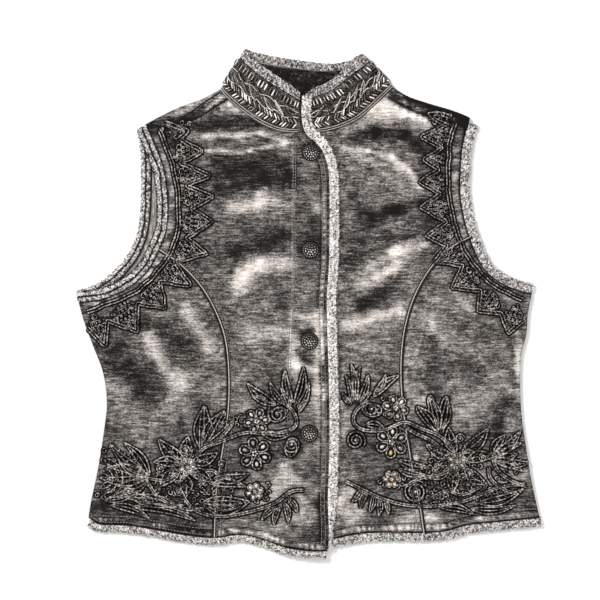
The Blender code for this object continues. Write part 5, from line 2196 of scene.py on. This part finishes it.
@dataclass
class Trims:
    """All the frayed trims but the collar's."""

    cloth: FrontCloth
    wardrobe: Wardrobe

    def front_under(self, side: Side) -> Callable[[Array], Array]:
        """The height that a front's trim lies at."""
        return lambda points: self.cloth.underside(points, side)

    def climbing(self, points: Array) -> Array:
        """The right front's underside, which climbs the collar's front edge.

        Args:
            points: places in plan, in millimetres.

        Returns:
            The heights, in millimetres.
        """
        top_y, top_z = COLLAR_FRONT_TOP
        climb = (points[:, 1] - COLLAR_FRONT_BASE_Y) / (top_y - COLLAR_FRONT_BASE_Y)
        climb = np.clip(climb, 0, 1)
        return self.cloth.underside(points, Side.RIGHT) * (1 - climb) + top_z * climb

    def build(self) -> list[bpy.types.Object]:
        """Builds each trim on its edge.

        Returns:
            Every strip and its fibres.
        """
        pattern = self.cloth.pattern
        right, left = self.front_under(Side.RIGHT), self.front_under(Side.LEFT)
        flat = lambda points: np.zeros(len(points))
        trims = (
            Trim("armhole_fray_right_back", "armhole_trim_right_back",
                 pattern.right_back_armhole, ARMHOLE_TRIM, 1, flat, 100, parting=0.7),
            Trim("armhole_fray_left_back", "armhole_trim_left_back",
                 pattern.left_back_armhole, ARMHOLE_TRIM, -1, flat, 110),
            Trim("hem_fray_back", "hem_trim_back", pattern.back_hem, RIGHT_HEM_TRIM, 1, flat, 120),
            Trim("armhole_fray_right_front", "armhole_trim_right_front",
                 pattern.right_front_armhole, ARMHOLE_TRIM, 1, right, 130, parting=0.7),
            Trim("armhole_fray_left_front", "armhole_trim_left_front",
                 pattern.left_armhole, ARMHOLE_TRIM, -1, left, 140),
            Trim("hem_fray_right", "hem_trim_right", pattern.right_hem, RIGHT_HEM_TRIM, 1,
                 right, 150),
            Trim("hem_fray_left", "hem_trim_left", pattern.left_hem, LEFT_HEM_TRIM, 1, left, 160),
            Trim("front_fray", "front_trim", pattern.front_trim,
                 2 * pattern.trim_half_width(), -1, self.climbing, 170, centred=True, bleach=0.16),
        )
        return [piece for trim in trims for piece in trim.build(self.wardrobe)]

    def armhole_shadow_lines(self) -> bpy.types.Object:
        """Dark tubes of painted shadow inside both armholes, where the fronts lie on the back, and
        along the back's armhole trims.

        Returns:
            The piece.
        """
        pattern = self.cloth.pattern
        back = pattern.loops()["back"]
        beside = offset(pattern.right_front_armhole, -1.0)
        along = lengths(beside)
        beside = beside[(along > 8.0) & (along < along[-1] - 5.0)]
        height = np.where(inside(beside, back), CLOTH, TRIM_THICKNESS) + 0.4
        hems = [np.c_[path, np.full(len(path), CLOTH + 0.25)] for path in (
            offset(pattern.right_back_armhole, ARMHOLE_TRIM + 0.6),
            offset(pattern.left_back_armhole, -ARMHOLE_TRIM - 0.6))]
        paths = [np.c_[beside, height], *kept_inside(hems, [back])]
        return make("armhole_shadow_line", tubes(paths, 1.0, 6), self.wardrobe.shadow)


def twin(path: Array, gap: float) -> list[Array]:
    """Two paths beside a path in plan."""
    return [offset(path, gap), offset(path, -gap)]


@dataclass
class Braids:
    """The double cords round both armholes, straight and zigzag, and the scribbles between."""

    cloth: FrontCloth
    wardrobe: Wardrobe
    gap: float = 1.5
    radius: float = 1.2
    scribble: float = 0.85
    loop: float = 2.3
    pitch: float = 4.6
    row: float = 5.4
    step: float = 0.75
    wobble: float = 0.7
    sunk: float = 0.75
    spread: float = 1.1

    def raised(self, path: Array, side: Side, lift: float) -> Array:
        """A path in plan laid on a front, its middle a lift above the cloth."""
        return np.c_[path, self.cloth.top(path, side) + lift]

    def layout(self) -> list[Array]:
        """Every cord's path in plan, by side.

        Returns:
            The paths.
        """
        self.rows = {}
        for side, armhole, rows, end in (
                (Side.RIGHT, RIGHT_ARMHOLE_BRAID, RIGHT_ZIGZAG, RIGHT_ZIGZAG_END),
                (Side.LEFT, LEFT_ARMHOLE_BRAID, LEFT_ZIGZAG, LEFT_ZIGZAG_END)):
            corners = np.array([p for near_x, near_y, far_x, far_y in rows
                                for p in ((near_x, near_y), (far_x, far_y))] + [end], float)
            curve = evened(smooth(armhole, 3.0), 1.6)
            self.rows[side] = {
                "armhole_cord": twin(self.wandering(curve), self.gap),
                "zigzag_cord": twin(self.wandering(evened(corners, 1.4)), self.gap),
                "zigzag_scribble": self.scribbles(corners, curve),
            }
        return [path for rows in self.rows.values() for paths in rows.values() for path in paths]

    def wandering(self, path: Array) -> Array:
        """A path that strays a little to either side, as cord laid by hand does."""
        x, y = path.T
        return offset(path, self.wobble * cloud(x, y, 7.0, 77))

    def build(self) -> list[bpy.types.Object]:
        """Builds both sides.

        Returns:
            The pieces.
        """
        made = []
        for side, rows in self.rows.items():
            for name, paths in rows.items():
                thin = name == "zigzag_scribble"
                node = None if thin else f"{name.replace('cord', 'braid')}_{side.value}"
                made.append(self.cords(f"{name}_{side.value}", paths, side, node,
                                       self.scribble if thin else self.radius))
        return made

    def cords(self, name: str, paths: list[Array], side: Side, node: str | None,
              radius: float) -> bpy.types.Object:
        """Cords on a front's cloth.

        Args:
            name: the piece's name.
            paths: each cord's path in plan.
            side: the front that it is about.
            node: the solid that it stands for, or None.
            radius: the cords' radius.

        Returns:
            The piece.
        """
        raised = [self.raised(path, side, self.sunk * radius) for path in paths]
        return make(name, cords_with_painted_shadow(raised, radius, self.spread), self.wardrobe.cord,
                    (node,) if node else ())

    def scribbles(self, corners: Array, armhole: Array) -> list[Array]:
        """Loops of thin cord that fill each point of the zigzag and the pockets behind.

        The pen runs to and fro over rows across the triangle while it turns in small circles.

        Args:
            corners: the zigzag's points, in order.
            armhole: the path of the cord round the armhole.

        Returns:
            A path for each scribble.
        """
        paths = []
        for number in range(len(corners) - 2):
            triangle = corners[number:number + 3]
            tip = triangle[1]
            middle = (triangle[0] + triangle[2]) / 2
            if number % 2:
                foot = nearest(tip[None], armhole).place[0]
                if np.linalg.norm(tip - foot) > 5.0:
                    continue
            paths.append(self.fill(triangle[0], triangle[2], tip, middle))
        back = nearest(corners[1:-1:2], armhole).place
        for start, end, tip in zip(corners[0:-2:2], corners[2::2], back):
            inner = (start + end) / 2
            if np.linalg.norm(inner - tip) > 6.0:
                paths.append(self.fill(start, end, tip + 0.15 * (inner - tip), inner))
        return paths

    def fill(self, start: Array, end: Array, tip: Array, middle: Array) -> Array:
        """One scribble in the triangle between two corners and a tip.

        Args:
            start: the corner where rows start.
            end: the corner where rows end.
            tip: the corner that rows shrink to.
            middle: halfway between the first two.

        Returns:
            The pen's path.
        """
        depth = np.linalg.norm(tip - middle)
        shares = np.arange(self.loop / depth + 0.02, 0.86, self.row / depth)
        pen = []
        for k, share in enumerate(shares):
            ends = [start + (tip - start) * share, end + (tip - end) * share]
            span = ends[1] - ends[0]
            inset = min(0.45, 2.4 / max(np.linalg.norm(span), 1e-6))
            row = [ends[0] + span * inset, ends[1] - span * inset]
            pen += row if k % 2 == 0 else row[::-1]
        if len(pen) < 2:
            pen = [middle, (middle + tip) / 2]
        line = evened(np.array(pen), self.step * self.pitch / (2 * math.pi * self.loop) + 1e-3)
        travel = lengths(line)
        turn = 2 * math.pi * travel / self.pitch
        size = self.loop * (0.85 + 0.25 * cloud(travel, travel * 0 + start[0], 3.0, 81))
        return line + size[:, None] * np.c_[np.cos(turn), np.sin(turn)]


@dataclass
class Embroidery:
    """The corded flowers, leaves, stems and curls of both lower fronts, with their beads."""

    cloth: FrontCloth
    wardrobe: Wardrobe
    cord: float = 1.4
    fine: float = 1.05
    bead: float = 1.2
    sunk: float = 0.7
    spread: float = 1.0
    least_apart: float = 5.5
    seed: int = 91

    def layout(self) -> list[Array]:
        """Lays out the motifs in plan.

        Returns:
            The paths.
        """
        self.random = np.random.default_rng(self.seed)
        self.bold: list[Array] = []
        self.thin: list[Array] = []
        self.beads: list[tuple[float, float, float, float]] = []
        for row in LEAVES:
            self.leaf(*row)
        for row in FLOWERS:
            self.flower(*row)
        for row in SPIRALS:
            self.spiral(*row)
        for row in STEMS:
            self.bold += twin(evened(smooth(row, 2.0), 1.5), 1.0)
        for row in FANS:
            self.fan(*row)
        for x, y, radius, start, end in ARCS:
            turns = np.radians(np.linspace(start, end, max(8, round(radius * 2))))
            self.bold.append(np.c_[x + radius * np.cos(turns), y + radius * np.sin(turns)])
        self.bold += [evened(smooth(row, 2.0), 1.4) for row in OUTLINES]
        for row in THICKETS:
            self.thicket(*row)
        return self.bold + self.thin

    def build(self) -> list[bpy.types.Object]:
        """Builds the cords and beads of each side."""
        return [piece for side in Side for piece in self.sewn(side)]

    def thicket(self, x: float, y: float, wide: float, high: float, count: int) -> None:
        """Small hooks of thin cord strewn over an ellipse, each clear of the ones before it.

        Args:
            x: its middle, across.
            y: its middle, along.
            wide: half its width.
            high: half its height.
            count: the most hooks that it holds.
        """
        kept: list[Array] = []
        for _ in range(count * 8):
            angle, share = self.random.uniform(0, 2 * math.pi), math.sqrt(self.random.uniform())
            place = np.array([x + wide * share * math.cos(angle),
                              y + high * share * math.sin(angle)])
            clear = all(np.linalg.norm(place - other) > self.least_apart for other in kept)
            if len(kept) < count and clear:
                kept.append(place)
                start = self.random.uniform(0, 2 * math.pi)
                turns = start + np.linspace(0, self.random.uniform(3.2, 6.5), 14)
                reach = np.linspace(self.random.uniform(2.2, 3.6), 1.0, 14)
                self.thin.append(place + reach[:, None] * np.c_[np.cos(turns), np.sin(turns)])

    def leaf(self, base_x: float, base_y: float, tip_x: float, tip_y: float,
             width: float) -> None:
        """Two bowed edges from the base to the tip, with a midrib and a few veins.

        Args:
            base_x: the base, across.
            base_y: the base, along.
            tip_x: the tip, across.
            tip_y: the tip, along.
            width: the greatest width.
        """
        base, tip = np.array([base_x, base_y]), np.array([tip_x, tip_y])
        ahead = tip - base
        length = np.linalg.norm(ahead)
        side = np.array([-ahead[1], ahead[0]]) / length
        t = np.linspace(0, 1, max(6, round(length / 1.5)))[:, None]
        bow = 0.08 * length * np.sin(math.pi * t) * self.random.choice([-1.0, 1.0])
        spine = base + ahead * t + side * bow
        half = width / 2 * np.sin(math.pi * t**0.8)
        self.bold += [spine + side * half, spine - side * half]
        self.thin.append(spine[: max(3, round(len(spine) * 0.85))])
        if width > 15.0:
            within = slice(max(1, len(spine) // 8), -max(2, len(spine) // 5))
            self.thin += [(spine + side * half * k)[within] for k in (0.5, -0.5)]
        count = 0 if width < 9.0 else int(length / 7.5)
        for k in range(count):
            at = (k + 0.7) / (count + 0.6)
            root = base + ahead * at
            out = width * 0.42 * math.sin(math.pi * at**0.8)
            for hand in (-1.0, 1.0):
                end = root + ahead / length * 3.0 + side * hand * out
                self.thin.append(np.linspace(root, end, 4))

    def flower(self, x: float, y: float, radius: float, petals: int, turn: float) -> None:
        """Petals as rounded loops, each round a long bead, about a cluster of small ones.

        Args:
            x: its middle, across.
            y: its middle, along.
            radius: reach of the petals.
            petals: number of petals.
            turn: direction of the first petal, in degrees.
        """
        centre = np.array([x, y])
        for k in range(petals):
            angle = math.radians(turn) + 2 * math.pi * k / petals
            ahead = np.array([math.cos(angle), math.sin(angle)])
            side = np.array([-ahead[1], ahead[0]])
            t = np.linspace(0, 2 * math.pi, 20)[:, None]
            reach = radius * (0.62 - 0.36 * np.cos(t))
            wide = radius * 0.27 * np.sin(t) * (1.0 - 0.25 * np.cos(t))
            self.bold.append(centre + ahead * reach + side * wide)
            place = centre + ahead * radius * 0.66
            self.beads.append((*place, self.bead * 1.5, angle))
        for k in range(5):
            angle = 2 * math.pi * k / 5
            place = centre + radius * 0.14 * np.array([math.cos(angle), math.sin(angle)])
            self.beads.append((*place, self.bead, 0.0))

    def spiral(self, x: float, y: float, radius: float, turns: float, start: float) -> None:
        """A cord that curls in to its middle.

        Args:
            x: its middle, across.
            y: its middle, along.
            radius: reach of the outer turn.
            turns: number of turns.
            start: direction of the cord's start, in degrees.
        """
        t = np.linspace(0, 1, max(12, round(radius * turns * 4)))
        reach = radius * (1 - 0.75 * t)
        angle = math.radians(start) + 2 * math.pi * turns * t
        self.bold.append(np.c_[x + reach * np.cos(angle), y + reach * np.sin(angle)])
        self.beads.append((x, y, self.bead, 0.0))

    def fan(self, x: float, y: float, start: float, end: float, number: int,
            length: float) -> None:
        """Long narrow leaves that spread from a point.

        Args:
            x: the point, across.
            y: the point, along.
            start: direction of the first leaf, in degrees.
            end: direction of the last leaf.
            number: number of leaves.
            length: length of the longest.
        """
        for k in range(number):
            angle = math.radians(start + (end - start) * k / (number - 1))
            reach = length * (0.82 + 0.18 * math.sin(2.1 * k))
            ahead = np.array([math.cos(angle), math.sin(angle)])
            base, tip = np.array([x, y]) + ahead * 3.0, np.array([x, y]) + ahead * reach
            self.leaf(*base, *tip, 9.5)

    def sewn(self, side: Side) -> list[bpy.types.Object]:
        """The cords and beads that lie on one front.

        Args:
            side: the front that it is about.

        Returns:
            The two sizes of cord, and the beads.
        """
        right = side is Side.RIGHT
        made = []
        for name, paths, radius in (("embroidery_cord", self.bold, self.cord),
                                    ("embroidery_vein", self.thin, self.fine)):
            here = [path for path in paths if (path[:, 0].mean() < FRONTS_MEET) == right]
            raised = [np.c_[path, self.cloth.top(path, side) + self.sunk * radius]
                      for path in self.cloth.clipped(here, side)]
            made.append(make(f"{name}_{side.value}", cords_with_painted_shadow(raised, radius, self.spread),
                             self.wardrobe.cord))
        beads = np.array([bead for bead in self.beads if (bead[0] < FRONTS_MEET) == right])
        made.append(make(f"embroidery_beads_{side.value}", self.strung(beads, side),
                         self.wardrobe.bead))
        return made

    def strung(self, beads: Array, side: Side) -> Form:
        """Every bead as a small ellipsoid, long beads turned along their petals.

        Args:
            beads: x, y, size and turn of each bead.
            side: the front that it is about.

        Returns:
            All the beads.
        """
        rings, around = 4, 8
        size_of_ball = rings * around + 2
        polar = np.linspace(0, math.pi, rings + 2)[1:-1]
        turns = np.linspace(0, 2 * math.pi, around, endpoint=False)
        p, q = np.meshgrid(polar, turns, indexing="ij")
        ball = np.stack([np.sin(p) * np.cos(q), np.sin(p) * np.sin(q), np.cos(p)], axis=-1)
        ball = np.vstack([ball.reshape(-1, 3), [(0, 0, 1)], [(0, 0, -1)]])
        index = np.arange(rings * around).reshape(rings, around)
        after = np.roll(index, -1, axis=1)
        quads = np.stack([index[:-1], index[1:], after[1:], after[:-1]], axis=-1).reshape(-1, 4)
        caps = np.vstack([np.c_[index[0], after[0], np.full(around, size_of_ball - 2)],
                          np.c_[after[-1], index[-1], np.full(around, size_of_ball - 1)]])
        x, y, size, angle = beads.T
        stretch = np.where(size > self.bead * 1.2, 1.45, 1.0)
        local = ball[None] * size[:, None, None]
        ahead = local[..., 0] * stretch[:, None]
        cos, sin = np.cos(angle)[:, None], np.sin(angle)[:, None]
        height = self.cloth.top(beads[:, :2], side) + 0.6 * size
        points = np.stack([x[:, None] + ahead * cos - local[..., 1] * sin,
                           y[:, None] + ahead * sin + local[..., 1] * cos,
                           height[:, None] + 0.8 * local[..., 2]], axis=-1)
        start = size_of_ball * np.arange(len(beads))[:, None, None]
        shade = np.repeat(self.random.uniform(0, 0.93, len(beads)), size_of_ball)
        return Form(points.reshape(-1, 3), [(quads + start).reshape(-1, 4),
                                            (caps + start).reshape(-1, 3)],
                    {"shade": shade}).turned_out()


@dataclass
class Stitching:
    """The topstitching of the seams, the placket and the hems."""

    cloth: FrontCloth
    wardrobe: Wardrobe
    stitch: float = 2.3
    gap: float = 0.9
    radius: float = 0.5
    placket_gap: float = 2.2
    edge_rows: tuple[float, ...] = (3.6, 7.6)
    princess_rows: tuple[float, ...] = (3.4, 7.4)
    right_hem_rows: tuple[float, ...] = (10.5, 16.8)
    left_hem_rows: tuple[float, ...] = (11.5, 19.0)
    shoulder_row: float = 1.8

    def build(self) -> list[bpy.types.Object]:
        """Builds the rows of each side.

        Returns:
            The pieces.
        """
        pattern = self.cloth.pattern
        edge = offset(pattern.front_trim, -pattern.trim_half_width())
        placket = smooth(PLACKET_STITCH, 3.0)
        rows = {
            Side.RIGHT: (
                placket, offset(placket, self.placket_gap),
                *(offset(edge, -away) for away in self.edge_rows),
                *(offset(pattern.right_princess, away) for away in self.princess_rows),
                *(offset(pattern.right_hem, away) for away in self.right_hem_rows),
                offset(smooth(RIGHT_SHOULDER_SEAM, 3.0), self.shoulder_row),
            ),
            Side.LEFT: (
                *(offset(pattern.left_princess, -away) for away in self.princess_rows),
                *(offset(pattern.left_hem, away) for away in self.left_hem_rows),
                offset(smooth(LEFT_SHOULDER_SEAM, 3.0), -self.shoulder_row),
            ),
        }
        made = [self.sewn(side, paths) for side, paths in rows.items()]
        for side, seam, away in ((Side.RIGHT, pattern.right_princess, 1.0),
                                 (Side.LEFT, pattern.left_princess, -1.0)):
            made.append(self.laid(f"princess_edge_{side.value}", [offset(seam, 1.3 * away)], side,
                                  0.9, 0.25, self.wardrobe.thread))
            shoulders = SHOULDER_LINES[side is Side.LEFT]
            # Painted shadow: dark lines beside each princess seam and along the shoulder seams.
            dark = [offset(seam, -0.8 * away), offset(seam, 2.8 * away),
                    *(smooth(row, 3.0) for row in shoulders)]
            made.append(self.laid(f"seam_shadow_{side.value}", dark, side, 0.75, 0.0,
                                  self.wardrobe.shadow))
        return made

    def laid(self, name: str, paths: Sequence[Array], side: Side, radius: float, lift: float,
             material: bpy.types.Material) -> bpy.types.Object:
        """Threads that lie along a seam of one front.

        Args:
            name: the piece's name.
            paths: each thread's path in plan.
            side: the front that it is about.
            radius: the threads' radius.
            lift: height of their middles above the cloth.
            material: what they are dressed with.

        Returns:
            The piece.
        """
        raised = [np.c_[path, self.cloth.top(path, side) + lift]
                  for path in self.cloth.clipped([evened(path, 1.5) for path in paths], side)]
        return make(name, tubes(raised, radius, 6), material)

    def sewn(self, side: Side, paths: Sequence[Array]) -> bpy.types.Object:
        """Every stitch as a short thread that dips into the cloth at its ends.

        Args:
            side: the front that it is about.
            paths: rows to stitch along.

        Returns:
            The piece.
        """
        stitches = []
        for path in self.cloth.clipped([evened(path, 1.0) for path in paths], side):
            along = lengths(path)
            starts = np.arange(1.0, along[-1] - self.stitch, self.stitch + self.gap)
            t = np.linspace(0, 1, 4)
            s = starts[:, None] + self.stitch * t
            plan = np.stack([np.interp(s, along, column) for column in path.T], axis=-1)
            height = self.cloth.top(plan.reshape(-1, 2), side).reshape(s.shape)
            height += 0.3 * np.sin(math.pi * t) - 0.05
            stitches += list(np.dstack([plan, height]))
        return make(f"topstitch_{side.value}", tubes(stitches, self.radius, 4),
                    self.wardrobe.thread)


@dataclass
class Buttons:
    """Four domed metal buttons with a woven relief."""

    wardrobe: Wardrobe
    radius: float = 9.5
    rim: float = 1.6
    dome: float = 2.8
    rings: int = 46
    turns: int = 112
    relief: float = 0.55
    border: float = 0.9
    foot: float = 0.6
    turned: float = 1.1
    # Reach, count and size of each ring of bosses
    bosses: tuple = ((0.0, 1, 1.2), (2.7, 6, 1.05), (5.2, 11, 1.05), (7.7, 20, 0.8))

    def build(self) -> list[bpy.types.Object]:
        """Builds each button over its solid."""
        return [self.button(number) for number in range(1, len(BUTTON_PLACES) + 1)]

    def button(self, number: int) -> bpy.types.Object:
        """A turned profile whose dome carries rings of small round bosses.

        Args:
            number: which button, counted from the top.

        Returns:
            The piece.
        """
        low, high = (np.array(corner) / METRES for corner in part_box(f"button_{number}"))
        x, y = (low + high)[:2] / 2
        share = np.linspace(0, 1, self.rings)[:, None]
        angle = np.linspace(0, 2 * math.pi, self.turns, endpoint=False)[None]
        radius = self.radius * share + 0 * angle
        inner = np.clip(radius / (self.radius - 0.8), 0, 1)
        height = self.rim + self.dome * np.sqrt(np.clip(1 - (0.93 * inner) ** 2, 0, 1))
        height = height - 0.37 * self.dome * inner**6
        ring = np.exp(-(((radius - (self.radius - self.border)) / 0.75) ** 2))
        boss = 0.0 * radius
        for reach, count, size in self.bosses:
            for k in range(count):
                at = 2 * math.pi * (k + 0.5 * (count % 2)) / count + 0.3 * reach
                apart = np.hypot(radius * np.cos(angle) - reach * math.cos(at),
                                 radius * np.sin(angle) - reach * math.sin(at))
                boss = np.maximum(boss, np.exp(-((apart / size) ** 4)))
        inside = radius < self.radius - self.border
        turn = angle + self.turned * number
        # Painted shade: each button's crown is darker towards its upper side and paler towards its
        # lower side.
        crown = np.where(inside, boss, 0.5 * ring) * (1 - 0.22 * np.sin(turn))
        height = np.where(inside, height + self.relief * boss,
                          self.rim + 0.75 * ring - 0.3 * (1 - ring))
        edge = radius >= self.radius - 1e-6
        height = np.where(edge, self.foot, height)
        top = np.stack([x + radius * np.cos(turn), y + radius * np.sin(turn),
                        low[2] + height], axis=-1)
        index = np.arange(top.shape[0] * top.shape[1]).reshape(top.shape[:2])
        after = np.roll(index, -1, axis=1)
        quads = np.stack([index[:-1], index[1:], after[1:], after[:-1]], axis=-1).reshape(-1, 4)
        foot = top[-1] * (1, 1, 0) + (0, 0, low[2])
        size = len(index.ravel())
        skirt = np.stack([index[-1], size + np.arange(self.turns),
                          size + np.roll(np.arange(self.turns), -1), after[-1]], axis=-1)
        bottom = np.c_[size + np.roll(np.arange(self.turns), -1), size + np.arange(self.turns),
                       np.full(self.turns, size + self.turns)]
        points = np.vstack([top.reshape(-1, 3), foot, [(x, y, low[2])]])
        values = np.r_[crown.ravel(), np.zeros(self.turns + 1)]
        form = Form(points, [quads, skirt, bottom], {"crown": values}).turned_out()
        return make(f"button_relief_{number}", form, self.wardrobe.metal,
                    (f"button_{number}",), 60)


@dataclass
class Studio:
    """The floor, the lights and the camera over the vest."""

    wardrobe: Wardrobe
    millimetres_a_pixel: float = 1.055
    pixels: int = 600
    middle: tuple[float, float] = (-9.5, 3.7)
    height: float = 3.2
    floor: float = 6.0

    def build(self) -> None:
        """Builds the studio."""
        self.surface()
        self.look()
        self.light("key", (-1.5, 1.3, 1.9), 0.7, 62.0)
        self.light("fill", (1.2, -0.9, 2.4), 1.8, 22.0)
        world = bpy.data.worlds.new("studio")
        bpy.context.scene.world = world
        world.use_nodes = True
        background = world.node_tree.nodes["Background"]
        background.inputs["Color"].default_value = (1.0, 1.0, 1.0, 1.0)
        background.inputs["Strength"].default_value = 0.62
        bpy.context.scene.view_settings.view_transform = "Standard"

    def surface(self) -> None:
        """A plain pale floor just under the vest."""
        half = self.floor / 2 / METRES
        corners = np.array([(-half, -half, -0.05), (half, -half, -0.05), (half, half, -0.05),
                            (-half, half, -0.05)]) * METRES
        mesh = bpy.data.meshes.new("floor")
        mesh.from_pydata(corners.tolist(), [], [(0, 1, 2, 3)])
        mesh.materials.append(self.wardrobe.floor)
        obj = bpy.data.objects.new("floor", mesh)
        bpy.context.scene.collection.objects.link(obj)

    def light(self, name: str, place: tuple[float, float, float], size: float,
              power: float) -> None:
        """A square soft light that faces the vest's middle.

        Args:
            name: the lamp's name.
            place: where it hangs, in metres.
            size: side of its square, in metres.
            power: its power, in watts.
        """
        lamp = bpy.data.lights.new(name, "AREA")
        lamp.size = size
        lamp.energy = power
        obj = bpy.data.objects.new(name, lamp)
        obj.location = place
        obj.rotation_euler = (-Vector(place)).to_track_quat("-Z", "Y").to_euler()
        bpy.context.scene.collection.objects.link(obj)

    def look(self) -> None:
        """A camera straight above, at the photograph's angle and scale."""
        camera = bpy.data.cameras.new("camera")
        width = self.millimetres_a_pixel * self.pixels * METRES
        camera.sensor_width = 36.0
        camera.lens = camera.sensor_width * self.height / width
        camera.clip_end = 20.0
        obj = bpy.data.objects.new("camera", camera)
        obj.location = (self.middle[0] * METRES, self.middle[1] * METRES, self.height)
        bpy.context.scene.collection.objects.link(obj)
        bpy.context.scene.camera = obj


def main() -> None:
    """Builds every sub-assembly in order."""
    logging.basicConfig(level=logging.INFO, format="%(name)s: %(message)s")
    wardrobe = Wardrobe()
    cloth = FrontCloth(Pattern())
    braids, embroidery = Braids(cloth, wardrobe), Embroidery(cloth, wardrobe)
    wash_and_light = WashAndPaintedLight(braids.layout() + embroidery.layout())
    panels = Panels(cloth, wash_and_light, wardrobe)
    panels.build()
    Collar(CollarForm(cloth), wardrobe).build()
    trims = Trims(cloth, wardrobe)
    panels.declare(trims.build())
    trims.armhole_shadow_lines()
    braids.build()
    embroidery.build()
    Stitching(cloth, wardrobe).build()
    Buttons(wardrobe).build()
    Studio(wardrobe).build()


if __name__ == "__main__":
    main()
